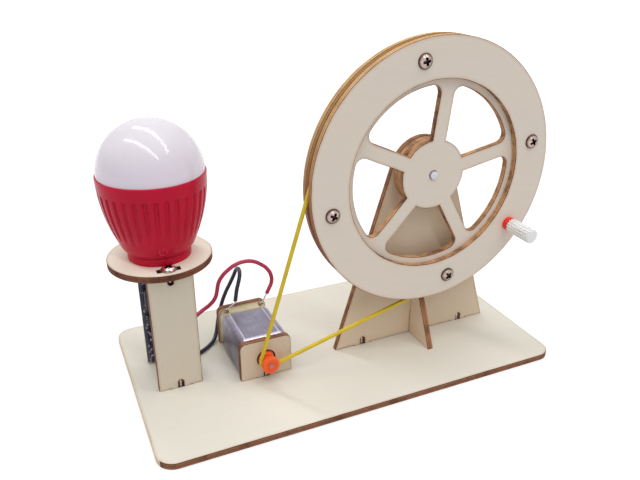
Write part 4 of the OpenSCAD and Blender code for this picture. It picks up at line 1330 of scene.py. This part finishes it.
class MakeWheel(bpy.types.Operator):
    """Makes the wheel's three layers and its spacers"""

    bl_idname = "generator.wheel"
    bl_label = "Wheel"

    def execute(self, context):
        hub, axle_hole = (0, 0), circle((0, 0), AXLE_HOLE, 28, True)
        outer = turned_size("wheel_front_ring")[0]
        for end in ("front", "rear"):
            node = f"wheel_{end}_ring"
            loops = [circle(hub, outer, 192), circle(hub, RING_IN, 160, True)] + rim_holes()
            add_board(f"rim_{end}_board", node, loops, on_wheel(span(node)[0].y), "wheel", "rim")
        loops = [circle(hub, DISC_R, 192)] + [window(72 * k) for k in range(5)] + rim_holes() + [axle_hole]
        add_board("spoke_board", "wheel_spoke_disc", loops, on_wheel(span("wheel_spoke_disc")[0].y), "wheel")
        for end in ("front", "rear"):
            node = f"hub_spacer_{end}"
            loops = [circle(hub, turned_size(node)[0], 96), axle_hole]
            add_board(f"spacer_{end}_board", node, loops, on_wheel(span(node)[0].y), "wheel")
        return {"FINISHED"}


class MakeScrews(bpy.types.Operator):
    """Makes the rim's, the shelf's and the base's screws, with their threads"""

    bl_idname = "generator.screws"
    bl_label = "Screws"

    # Profiles of the heads from their seats up, and the length, width and depth of their recesses' arms
    WASHER = [(0, 0), (3.4, 0), (3.5, 0.1), (3.5, 0.42), (3.42, 0.56), (3.22, 0.66), (2.9, 0.84),
              (2.5, 1.14), (2.1, 1.44), (1.7, 1.7), (1.2, 1.9), (0.6, 1.99), (0, 2.0)]
    SUNK = [(0, 0), (1.1, 0), (2.34, 1.3), (2.4, 1.36), (2.36, 1.4), (0, 1.4)]
    WASHER_RECESS, SUNK_RECESS = (4.1, 1.5, 1.2), (2.8, 0.7, 0.8)
    # Seat of a sunk head above the floor, and how far the head's end lies in from the underside
    SUNK_SEAT, SUNK_IN = 1.5, 0.1
    # How far a shank reaches into its head, stays short of its hole's end, and how long its point is
    LAP, SHORT, POINT = 0.05, 0.4, 1.2
    SIDES, ROWS_A_PITCH, CREST_SLOPE = 24, 6, 3.2
    # Shares of a head's radius at which the painted dark reflection on its brim starts and over which it
    # fades in, and where the painted shade of the recess ends
    BRIM, BRIM_FADE, RECESS_R = 0.78, 0.1, 0.7
    # How far below the head's skin and above its seat a face of the recess lies, to take the painted shade
    SKIN_GAP = 0.1

    def shank(self, long):
        """Threaded shank from its head down, with a short point."""
        pitch, depth = sizes().thread_pitch / MM, sizes().thread_depth / MM
        core, count = SCREW_D / 2 - depth, self.SIDES
        steps = int(long / pitch * self.ROWS_A_PITCH)
        points, faces = [], []
        for i in range(steps + 1):
            z = self.LAP - long * i / steps
            taper = min(1.0, (long - long * i / steps) / self.POINT)
            for k in range(count):
                share = (z / pitch + k / count) % 1.0
                crest = max(0.0, 1 - abs(share - 0.5) * self.CREST_SLOPE)
                radius = (core + depth * crest) * (0.3 + 0.7 * taper)
                a = 2 * math.pi * k / count
                points.append((radius * math.cos(a), radius * math.sin(a), z))
        for i in range(steps):
            faces += bridge((i + 1) * count, i * count, count)
        last = steps * count
        return points, faces + [tuple(range(count)), tuple(range(last, last + count))[::-1]]

    def recessed(self, name, head, arm, wide, depth):
        """A turned head with a cross recess cut into its top."""
        top = head[-1][1]
        body = linked(name, Shape().add(*lathe(head, 48)).mesh(name))
        cuts = []
        for along, across in ((arm, wide), (wide, arm)):
            outline = rounded(along, across, wide * 0.4, 4)
            levels = [(top - depth, wide * 0.25), (top - depth * 0.7, wide * 0.1), (top + 1, 0)]
            cut = linked(name + "_cut", Shape().add(*prism(outline, levels)).mesh(name + "_cut"))
            modifier = body.modifiers.new("recess", "BOOLEAN")
            modifier.operation, modifier.solver, modifier.object = "DIFFERENCE", "EXACT", cut
            cuts.append(cut)
        graph = bpy.context.evaluated_depsgraph_get()
        made = bpy.data.meshes.new_from_object(body.evaluated_get(graph))
        for thing in cuts + [body]:
            bpy.data.objects.remove(thing)
        return cleaned(made)

    def whole(self, name, head, profile, long):
        """A head and its shank as one mesh, with marks for the painted dark reflection on the head's brim and
        the painted shade in its recess.
        """
        made = bmesh.new()
        made.from_mesh(head)
        made.from_mesh(Shape().add(*self.shank(long)).mesh(name + "_shank"))
        whole = bpy.data.meshes.new(name)
        made.to_mesh(whole)
        made.free()
        smoothed(whole)
        widest = max(r for r, _ in profile)
        # The brim mark paints the dark reflection round the head's edge, and the recess mark paints the shade
        # in its cross.
        brim, recess = [], []
        for v in whole.vertices:
            share = math.hypot(v.co.x, v.co.y) / MM / widest
            fade = min(1.0, max(0.0, (share - self.BRIM) / self.BRIM_FADE))
            brim.append(fade if v.co.z > -0.01 * MM else 0.0)
        for face in whole.polygons:
            r, z = math.hypot(face.center.x, face.center.y) / MM, face.center.z / MM
            skin = max((b + (d - b) * (r - a) / (c - a) for (a, b), (c, d) in zip(profile, profile[1:])
                        if min(a, c) <= r <= max(a, c) and a != c), default=0.0)
            inside = self.SKIN_GAP < z < skin - self.SKIN_GAP and r < self.RECESS_R * widest
            recess.append(1.0 if inside else 0.0)
        for mark, domain, values in (("brim", "POINT", brim), ("recess", "FACE", recess)):
            whole.attributes.new(mark, "FLOAT", domain).data.foreach_set("value", values)
        return whole

    def execute(self, context):
        head = self.recessed("washer_head", self.WASHER, *self.WASHER_RECESS)
        low = self.recessed("sunk_head", self.SUNK, *self.SUNK_RECESS)
        sunk_long = PLY - self.SUNK_IN + SLOT_L - self.SHORT - self.SUNK[-1][1]
        rim = self.whole("rim_screw", head, self.WASHER, 3 * PLY - self.SHORT)
        shelf = self.whole("shelf_screw", head, self.WASHER, PLY + SLOT_L - self.SHORT)
        base = self.whole("base_screw", low, self.SUNK, sunk_long)
        spots = []
        for k in range(4):
            a = WHEEL_TURN + k * QUARTER
            spots.append((AXLE.x + RIM_SCREW_R * math.cos(a), RIM_FRONT, AXLE.z + RIM_SCREW_R * math.sin(a)))
        jobs = (
            ("rim_screw_set", rim, spots, [0.5, 0.2, 1.1, 0.75], (QUARTER, 0, 0), "rim_screws", "nickel"),
            # The shelf's screws are painted brighter: a painted reflection.
            ("shelf_screw_set", shelf, [(x, y + PLY / 2, SHELF_TOP) for x, y in SHELF_SPOTS],
             [0.6, 0.2], (0, 0, 0), "shelf_screws", "bright"),
            ("base_screw_set", base, [(x, y + PLY / 2, self.SUNK_SEAT) for x, y in BASE_SPOTS],
             [0.1, 0.7, 0.4, 1.0, 0.3, 0.9], (math.pi, 0, 0), "base_screws", "nickel"),
        )
        for name, template, places, spins, facing, node, kind in jobs:
            mesh = set_on_points(name, template, places, spins, facing, metal_finish(kind))
            add_piece(name, mesh, node)
        return {"FINISHED"}


class MakeLamp(bpy.types.Operator):
    """Makes the lamp's fluted cup, its dome and its mark, and dresses its light source"""

    bl_idname = "generator.lamp"
    bl_label = "Lamp"

    # Cup: height, radius of its rim, radius of its side's curve and wall
    CUP_H, RIM_R, CURVE_R, WALL = 39.2, 23.7, 76.0, 1.6
    FOOT = [(2.3, -5.0), (4.2, -5.0), (4.2, 2.6), (12.4, 2.6), (12.4, 0.0), (13.95, 0.0), (14.15, 0.15),
            (14.2, 0.4), (14.2, 3.2), (14.1, 3.5), (13.8, 3.6), (13.7, 3.7), (13.7, 4.05), (14.55, 4.1),
            (14.82, 4.2), (14.9, 4.45), (14.9, 5.5), (15.0, 5.6), (15.6, 5.62), (15.85, 5.8)]
    SKIN_LOW, SKIN_HIGH, SKIN_ROWS = 6.1, 38.9, 84
    FLUTE_SIDES, FLUTE_FADE = 16, 0.006
    # Mark: direction and height of its middle, radius of its ring and of its line
    MARK_TURN, MARK_HIGH, MARK_R, MARK_LINE = math.radians(-94.4), 8.3, 1.75, 0.2
    # Dome: radius, wall, and radius and depth of the lip in the cup
    DOME_R, DOME_WALL, LIP_R, LIP_DEEP = 23.1, 1.5, 21.95, 3.0

    def side(self, z, wall=0.0):
        """Radius of the cup's side at a height."""
        return self.RIM_R - self.CURVE_R + math.sqrt((self.CURVE_R - wall) ** 2 - (z - self.CUP_H) ** 2)

    def cup(self):
        s, red = sizes(), plastic("lamp cup plastic", "lamp_red", 0.3, 0.012, 0.05, Specular_IOR_Level=0.15)
        rows = [self.SKIN_LOW + (self.SKIN_HIGH - self.SKIN_LOW) * i / self.SKIN_ROWS
                for i in range(self.SKIN_ROWS + 1)]
        skin = [(self.side(z), z) for z in rows]
        rim = [(self.RIM_R - 0.04, 39.08), (self.RIM_R - 0.2, self.CUP_H), (22.3, self.CUP_H), (22.1, 39.0)]
        inner = [(self.side(z, self.WALL), z) for z in (36, 30, 24, 18, 12, 8)]
        inner += [(11.6, 6.4), (11.2, 5.2), (2.3, 5.2)]
        count = s.flute_count * self.FLUTE_SIDES
        points, faces = lathe(self.FOOT + skin + rim + inner, count, loop=True)
        first = len(self.FOOT) * count
        marks = [1.0 if first <= i < first + len(skin) * count else 0.0 for i in range(len(points))]
        plain = Shape().add(points, faces, marks={"skin": marks}).mesh("lamp_cup", [red], 28)
        mesh = grown(fluted_tree(), plain, "lamp_cup", Count=s.flute_count, Width=s.flute_width,
                     Depth=s.flute_depth, Low=s.flute_low, High=s.flute_high, Fade=self.FLUTE_FADE,
                     Material=red)
        mesh.transform(Matrix.Translation(Vector((LAMP.x, LAMP.y, SHELF_TOP)) * MM))
        add_piece("lamp_cup", mesh, "lamp_housing")

    def mark(self):
        """The on and off sign, a ring with a gap and a bar in it, painted paler than the cup as a painted
        highlight on its raised relief.
        """
        def on_cup(u, v):
            z = self.MARK_HIGH + v
            r = self.side(z) - 0.02
            a = self.MARK_TURN + u / r
            return (LAMP.x + r * math.cos(a), LAMP.y + r * math.sin(a), SHELF_TOP + z)

        turns = [math.radians(35 + 290 * i / 40) for i in range(41)]
        ring = [on_cup(self.MARK_R * math.sin(a), self.MARK_R * math.cos(a)) for a in turns]
        bar = [on_cup(0, v * 0.25) for v in range(1, 10)]
        shape = Shape().add(*tube(ring, self.MARK_LINE, 8)).add(*tube(bar, self.MARK_LINE, 8))
        # The mark is the cup's red painted paler: a painted highlight in place of the light on its relief.
        mark_painted_pale = finish("lamp mark plastic", moulded, tone(shade_of("lamp_red"), 1.25, 3.2, 1.7), 0.25, 0.004)
        add_shape("lamp_mark", shape, None, "lamp_red", mark_painted_pale)

    def dome(self):
        big, lip = self.DOME_R, self.LIP_R
        small, thin = big - self.DOME_WALL, lip - self.DOME_WALL
        turn = [math.radians(90 * i / 40) for i in range(41)]
        profile = [(0.0, small)] + [(small * math.sin(a), small * math.cos(a)) for a in turn[1:-1]]
        profile += [(thin, 0.4), (thin, -self.LIP_DEEP), (lip, -self.LIP_DEEP), (lip, -0.02)]
        profile += [(big - 0.3, -0.02), (big - 0.06, 0.1)]
        profile += [(big * math.sin(a), big * math.cos(a)) for a in reversed(turn[1:-1])] + [(0.0, big)]
        place = Matrix.Translation((LAMP.x, LAMP.y, SHELF_TOP + self.CUP_H))
        white = finish("frosted dome", frosted_dome, shade_of("dome_white"))
        shape = Shape().add(*lathe(profile, 128), place=place)
        add_shape("lamp_dome", shape, "lamp_diffuser", "frosted_white", white, crease=40)

    def execute(self, context):
        self.cup()
        self.mark()
        self.dome()
        dress("led_board", finish("white circuit board", moulded, srgb(226, 230, 232), 0.4, 0.004))
        dress("led_chips", finish("phosphor", moulded, srgb(243, 226, 120), 0.35, 0.002))
        return {"FINISHED"}


class MakeCircuit(bpy.types.Operator):
    """Makes the circuit board, its parts, its solder and its tape"""

    bl_idname = "generator.circuit"
    bl_label = "Circuit board"

    DIODE = (4.6, 2.4)
    # Heights of the legs on each side of a package from its middle, and half their width
    CHIP_LEGS, DIODE_LEGS = ((-1.6, -0.5, 0.6, 1.7), 0.18), ((0.0,), 0.7)
    LEG_IN, LEG_OUT, LEG_THICK = 0.15, 0.75, 0.45
    BLOB = [(0, 0), (0.98, 0.0), (1.0, 0.08), (0.82, 0.3), (0.6, 0.55), (0.42, 0.72), (0.2, 0.79), (0, 0.8)]
    # Spots of the solder from the middle of the board's lower edge
    SOLDER = ((-8.2, 1.8), (-8.2, 6), (-8.2, 9.5), (-8.2, 20), (-4.6, 2.2), (-8.2, 29.2), (6.6, 28), (3, 28))

    def packages(self, name, node, boxes, legs, black):
        """Black blocks with tinned legs on their left and right."""
        shape, (heights, half) = Shape(), legs
        for a, b in boxes:
            shape.add(*block(a, b, 0.25))
            mid, deep = (a[2] + b[2]) / 2, b[1]
            for end, out in ((a[0], -1), (b[0], 1)):
                x0, x1 = sorted((end - self.LEG_IN * out, end + self.LEG_OUT * out))
                for rise in heights:
                    low = (x0, deep - self.LEG_THICK, mid + rise - half)
                    shape.add(*block(low, (x1, deep, mid + rise + half), 0.08, 1), part=1)
        add_shape(name, shape, node, "part_black", black, metal_finish("tinned"))

    def execute(self, context):
        navy = finish("solder mask", circuit_mask, shade_of("board_navy"))
        panel = Shape().add(*block(PCB_LOW, PCB_HIGH, 0.12, 1))
        add_shape("circuit_panel", panel, "circuit_board", "board_blue", navy)

        black = finish("component plastic", moulded, srgb(44, 44, 50), 0.42, 0.003)
        self.packages("circuit_chip", "board_chip", [span("board_chip")], self.CHIP_LEGS, black)
        low, high = span("board_diodes")
        wide, tall = self.DIODE
        boxes = [((x, low.y, z), (x + wide, high.y, z + tall))
                 for x in (low.x, high.x - wide) for z in (low.z, high.z - tall)]
        self.packages("circuit_diodes", "board_diodes", boxes, self.DIODE_LEGS, black)

        low, high = span("board_inductor")
        deep = high.y - low.y
        coil = prism(rounded(high.x - low.x, high.z - low.z, 1.5), [
            (0, 0.1), (0.15, 0), (deep - 0.3, 0), (deep - 0.1, 0.1), (deep, 0.35)])
        shape = Shape().add(*coil, place=at_rear("board_inductor"))
        add_shape("circuit_coil", shape, "board_inductor", "part_black", black)

        r, deep = turned_size("board_capacitor")
        can = [(0, 0), (r - 0.2, 0), (r, 0.2), (r, 0.9), (r - 0.35, 1.2), (r - 0.35, 1.5), (r, 1.8),
               (r, deep - 0.4), (r - 0.35, deep), (r - 0.9, deep), (r - 1.0, deep - 0.12), (0, deep - 0.12)]
        sleeve = finish("capacitor sleeve", worn_metal, srgb(150, 154, 164), 0.3)
        add_turned("circuit_capacitor", can, "board_capacitor", "can_silver", sleeve, 40, False)

        blob = Shape().add(*lathe(self.BLOB, 20)).mesh("solder_blob")
        middle = (PCB_LOW.x + PCB_HIGH.x) / 2
        spots = [(middle + x, PCB_LOW.y, PCB_LOW.z + z) for x, z in self.SOLDER]
        mesh = set_on_points("circuit_solder", blob, spots, [0.0] * len(spots), (QUARTER, 0, 0),
                             metal_finish("solder"))
        add_piece("circuit_solder", mesh, "board_solder")
        dress("board_tape", finish("foam tape", rubber, srgb(220, 220, 212)))
        return {"FINISHED"}


class MakeMotor(bpy.types.Operator):
    """Makes the motor's can, cap and lugs, and dresses what is inside"""

    bl_idname = "generator.motor"
    bl_label = "Motor"

    CORNER = 4.0
    # Bosses at both ends: bore and radius, and the rear one's length
    BORE, BOSS_R, REAR_BOSS = 1.05, 4.4, 2.0
    # Painted highlight on the can's edges: how bright, how far back from its front, and how far beside a
    # corner it ends
    WEAR, WORN_FRONT, WORN_BESIDE = 0.75, 1.5, 0.5
    # Lugs: from and to these distances from the middle, how high they start, and thickness
    LUG_NEAR, LUG_FAR, LUG_FOOT, LUG_THICK = 8.0, 10.6, 8.4, 0.4
    # Name, maker, colour and other facts of the finishes of the CAD nodes inside
    INSIDE = {
        "motor_magnets": ("magnet ferrite", moulded, (74, 74, 80), 0.6, 0.003),
        "motor_front_bush": ("sintered bronze", worn_metal, (176, 141, 79), 0.45),
        "motor_rear_bush": ("sintered bronze", worn_metal, (176, 141, 79), 0.45),
        "motor_brushes": ("brush carbon", rubber, (52, 52, 56)),
        "motor_armature": ("core steel", worn_metal, (140, 140, 148), 0.4),
        "motor_windings": ("enamelled copper", worn_metal, (190, 104, 52), 0.25, (0.0003, 0.004, 0.0003)),
        "motor_commutator": ("commutator copper", worn_metal, (200, 120, 70), 0.3),
    }

    def can_outline(self, wide, tall):
        """Rounded outline as (X, Z, highlight), painted bright where the flat top meets its corners: a
        painted highlight.
        """
        flat, beside = wide / 2 - self.CORNER, self.WORN_BESIDE
        line = [(x, y, 1.0 if abs(abs(x) - flat) < 0.01 and y > 0 else 0.0)
                for x, y in rounded(wide, tall, self.CORNER, 12)]
        right = max(i for i, p in enumerate(line) if p[2] and p[0] > 0)
        top = [(flat - beside, tall / 2, 0.0), (beside - flat, tall / 2, 0.0)]
        return line[:right + 1] + top + line[right + 1:]

    def can(self, front, seam):
        low, high = span("motor_can")
        tall, deep, boss = high.z - low.z, seam - front, front - low.y
        outline = self.can_outline(high.x - low.x, tall)
        levels = [(0, 0.7), (0, 0.12), (0.12, 0), (deep - 2.4, 0), (deep - 1.5, 0), (deep - 0.9, 0),
                  (deep - 0.45, 0.12), (deep - 0.12, 0.45), (deep, 0.9)]
        # The worn mark is a painted highlight along the top's edges beside its corners and along its front
        # edge.
        worn = []
        for z, _ in levels:
            for x, y, mark in outline:
                ahead = 1.0 if z >= deep - self.WORN_FRONT and y > tall / 2 - 0.1 else 0.0
                worn.append(self.WEAR * max(mark, ahead))
        points, faces = prism([(x, y) for x, y, _ in outline], levels)
        shape = Shape().add(points, faces, marks={"worn": worn}, place=forward(MOTOR.x, seam, MOTOR.z))
        ring = [(self.BORE, 0), (self.BOSS_R, 0), (self.BOSS_R, boss - 0.3), (4.1, boss), (self.BORE, boss)]
        shape.add(*lathe(ring, 40, loop=True), place=forward(MOTOR.x, front, MOTOR.z))
        shade = shade_of("can_steel")
        # The worn mark lightens the steel: a painted highlight.
        steel = finish("motor can steel", worn_metal, shade, 0.34, (0.0012, 0.018, 0.0012), 0.8,
                       [("worn", tone(shade, 2.6, 2.6, 2.5))])
        add_shape("motor_case", shape, "motor_can", "motor_steel", steel)

    def cap(self, seam, back):
        low, high = span("motor_end_cap")
        deep, boss = back - seam, self.REAR_BOSS
        cream = plastic("motor cap plastic", "cap_cream", 0.34, 0.006,
                        Subsurface_Weight=0.2, Subsurface_Radius=(1.0, 0.9, 0.5), Subsurface_Scale=0.001)
        body = prism(rounded(high.x - low.x, high.z - low.z, self.CORNER, 10), [
            (0, 0.3), (0.15, 0.06), (0.3, 0), (deep - 1.2, 0), (deep - 1.1, 0.25), (deep - 0.15, 0.25),
            (deep, 0.4)])
        shape = Shape().add(*body, place=forward(MOTOR.x, back, MOTOR.z))
        ring = [(self.BORE, 0), (self.BOSS_R, 0), (self.BOSS_R, boss - 0.3), (4.2, boss), (self.BORE, boss)]
        rear = Matrix.Translation((MOTOR.x, back, MOTOR.z)) @ Matrix.Rotation(-QUARTER, 4, "X")
        shape.add(*lathe(ring, 40, loop=True), place=rear)
        add_shape("motor_cap", shape, "motor_end_cap", "cap_cream", cream)

    def lugs(self):
        low, high = span("motor_terminals")
        shape, thick = Shape(), self.LUG_THICK
        for side in (-1, 1):
            near, far = sorted(MOTOR.x + side * out for out in (self.LUG_NEAR, self.LUG_NEAR + thick))
            shape.add(*block((near, low.y, MOTOR.z + self.LUG_FOOT), (far, high.y, high.z), 0.1))
            near, far = sorted(MOTOR.x + side * out for out in (self.LUG_NEAR, self.LUG_FAR))
            lug = prism(rounded(far - near, high.y - low.y, 0.9, 6), [
                (0, 0.06), (0.06, 0), (thick - 0.06, 0), (thick, 0.06)])
            middle = ((near + far) / 2, (low.y + high.y) / 2, high.z - thick)
            shape.add(*lug, place=Matrix.Translation(middle))
        add_shape("motor_lugs", shape, "motor_terminals", "bronze", metal_finish("brass"))

    def execute(self, context):
        seam = span("motor_can")[1].y
        self.can(span("motor_front_plate")[1].y, seam)
        self.cap(seam, span("motor_rear_plate")[0].y)
        self.lugs()
        for node, (name, maker, shade, *facts) in self.INSIDE.items():
            dress(node, finish(name, maker, srgb(*shade), *facts))
        return {"FINISHED"}


class MakeDrive(bpy.types.Operator):
    """Makes the belt, the pulley, the motor's shaft, the axle and its collar"""

    bl_idname = "generator.drive"
    bl_label = "Drive"

    # Radii at the inside of the belt, on the wheel and on the pulley
    BELT_WHEEL, BELT_PULLEY = 59.3, 2.8
    PULLEY_CORE, PULLEY_BORE = 2.5, 1.02

    def belt(self):
        low, high = span("drive_belt")
        wide, middle = high.y - low.y, (low.y + high.y) / 2
        big, small = self.BELT_WHEEL + wide / 2, self.BELT_PULLEY + wide / 2
        gap = Vector((AXLE.x - MOTOR.x, AXLE.z - MOTOR.z))
        aim = math.degrees(math.atan2(gap.y, gap.x))
        lean = 90 + math.degrees(math.asin((big - small) / gap.length))
        flat = arc((AXLE.x, AXLE.z), big, aim - lean, aim + lean, 150)
        flat += arc((MOTOR.x, MOTOR.z), small, aim + lean, aim - lean + 360, 24)
        line = bpy.data.meshes.new("belt_line")
        line.from_pydata([Vector((x, middle, z)) * MM for x, z in flat],
                         [(i, (i + 1) % len(flat)) for i in range(len(flat))], [])
        yellow = finish("belt rubber", rubber, shade_of("belt_yellow"))
        mesh = grown(belt_tree(), line, "belt_loop", Width=wide * MM, Rounding=sizes().belt_round,
                     Material=yellow)
        add_piece("belt_loop", turned_out(mesh), "drive_belt")

    def pulley(self):
        """Pulley with a smaller flange at its rear."""
        rim, long = turned_size("motor_pulley")
        core, bore = self.PULLEY_CORE, self.PULLEY_BORE
        flange = [(rim - 0.35, 0.0), (rim - 0.1, 0.1), (rim, 0.35), (rim, 1.8), (rim - 0.12, 2.05),
                  (rim - 0.5, 2.22), (core + 0.25, 2.38), (core, 2.6)]
        profile = [(bore, 0.0), (core, 0.0)] + [(r - min(0.45, r - core), z) for r, z in flange]
        profile += [(r, long - z) for r, z in reversed(flange)]
        profile += [(2.7, long), (2.5, long - 0.35), (1.75, long - 0.35), (1.6, long), (bore, long)]
        orange = plastic("pulley plastic", "pulley_orange", 0.3, 0.003)
        add_turned("pulley", profile, "motor_pulley", "pulley_orange", orange)

    def execute(self, context):
        self.belt()
        self.pulley()
        for name, node, kind in (("motor_rod", "motor_shaft", "steel"), ("wheel_axle", "axle", "axle")):
            r, long = turned_size(node)
            end = [(r, 0.25), (r - 0.05, 0.1), (r - 0.22, 0.02), (r * 0.5, 0.0), (0.0, 0.0)]
            profile = end[::-1] + [(out, long - z) for out, z in end]
            add_turned(name, profile, node, "motor_steel", metal_finish(kind), 40, False)
        r, long = turned_size("axle_collar")
        profile = [(AXLE_HOLE, 0), (r - 0.4, 0), (r, 0.4), (r, long - 0.4), (r - 0.4, long), (3.2, long),
                   (3.0, long - 0.3), (AXLE_HOLE, long - 0.3)]
        add_turned("axle_stop", profile, "axle_collar", "grip_white", grip_plastic(), axis=AXLE)
        return {"FINISHED"}


class MakeCrank(bpy.types.Operator):
    """Makes the crank's pin, its red collar and its splined grip"""

    bl_idname = "generator.crank"
    bl_label = "Crank"

    PIN_R = 1.5
    # Grip: bore, thickness of its closed end, rows along it, and width of a spline's hollow in its pitch
    GRIP_BORE, GRIP_END, GRIP_ROWS, HOLLOW = 1.56, 2.0, 12, 0.56
    SPLINE_SIDES = 16

    def grip(self):
        radius, long = turned_size("crank_grip")
        s, bore, white = sizes(), self.GRIP_BORE, grip_plastic()
        count, rows = s.spline_count * self.SPLINE_SIDES, self.GRIP_ROWS
        body = [(radius - 0.12, 0.0), (radius, 0.15)]
        body += [(radius, 0.15 + (long - 0.35) * i / rows) for i in range(1, rows + 1)]
        body.append((radius - 0.04, long))
        inside = [(0.0, long - self.GRIP_END), (bore, long - self.GRIP_END), (bore, 0.0), (radius - 1.1, 0.0)]
        points, faces = lathe(inside + body + [(radius - 1.1, long), (0.0, long)], count)
        first = 1 + count * (len(inside) - 1)
        last = first + count * len(body)
        marks = [1.0 if first <= i < last else 0.0 for i in range(len(points))]
        plain = Shape().add(points, faces, marks={"skin": marks}).mesh("crank_handle", [white])
        mesh = grown(fluted_tree(), plain, "crank_handle", Count=s.spline_count,
                     Width=2 * math.pi * radius / s.spline_count * self.HOLLOW * MM, Depth=s.spline_depth,
                     Low=-0.01, High=0.1, Fade=0.0, Material=white)
        rear = Vector((CRANK.x, span("crank_grip")[1].y, CRANK.z))
        mesh.transform(Matrix.Translation(rear * MM) @ UPRIGHT)
        mesh.set_sharp_from_angle(angle=math.radians(38))
        add_piece("crank_handle", mesh, "crank_grip")

    def execute(self, context):
        r, long = turned_size("crank_collar")
        profile = [(PIN_HOLE, 0), (r - 0.25, 0), (r, 0.25), (r, long - 0.5), (r - 0.15, long - 0.15),
                   (r - 0.5, long), (PIN_HOLE, long)]
        red = plastic("collar plastic", "collar_red", 0.3, 0.003)
        add_turned("crank_ring", profile, "crank_collar", "collar_red", red)
        self.grip()
        head, long = turned_size("crank_pin")
        pin = self.PIN_R
        profile = [(0, 0), (head - 0.8, 0), (head - 0.3, 0.25), (head, 0.8), (head, 1.6), (head - 0.2, 1.8),
                   (pin, 1.8), (pin, long - 0.3), (pin - 0.3, long), (0, long)]
        add_turned("crank_rod", profile, "crank_pin", "motor_steel", metal_finish("steel"), 40, False, CRANK)
        return {"FINISHED"}


OPERATORS = (MakeStage, MakeWires, MakeBase, MakeUprights, MakeWheel, MakeScrews, MakeLamp, MakeCircuit,
             MakeMotor, MakeDrive, MakeCrank)
GROUPS = {"generator_sizes": GeneratorSizes, "generator_colours": GeneratorColours,
          "generator_stage": GeneratorStage}


class GeneratorPanel(bpy.types.Panel):
    """Lists the generator's settings and the steps that make it"""

    bl_idname = "VIEW3D_PT_generator"
    bl_label = "Hand crank generator"
    bl_space_type = "VIEW_3D"
    bl_region_type = "UI"
    bl_category = "Generator"

    def draw(self, context):
        for step in OPERATORS:
            self.layout.operator(step.bl_idname)
        for group in GROUPS:
            box, settings = self.layout.box(), getattr(context.scene, group)
            for key in settings.__annotations__:
                box.prop(settings, key)


def register():
    for made in (*GROUPS.values(), *OPERATORS, GeneratorPanel):
        bpy.utils.register_class(made)
    for key, group in GROUPS.items():
        setattr(bpy.types.Scene, key, PointerProperty(type=group))


def unregister():
    for key in GROUPS:
        delattr(bpy.types.Scene, key)
    for made in (GeneratorPanel, *reversed(OPERATORS), *reversed(list(GROUPS.values()))):
        bpy.utils.unregister_class(made)


def main():
    register()
    for step in OPERATORS:
        group, name = step.bl_idname.split(".")
        getattr(getattr(bpy.ops, group), name)()


if __name__ == "__main__":
    main()
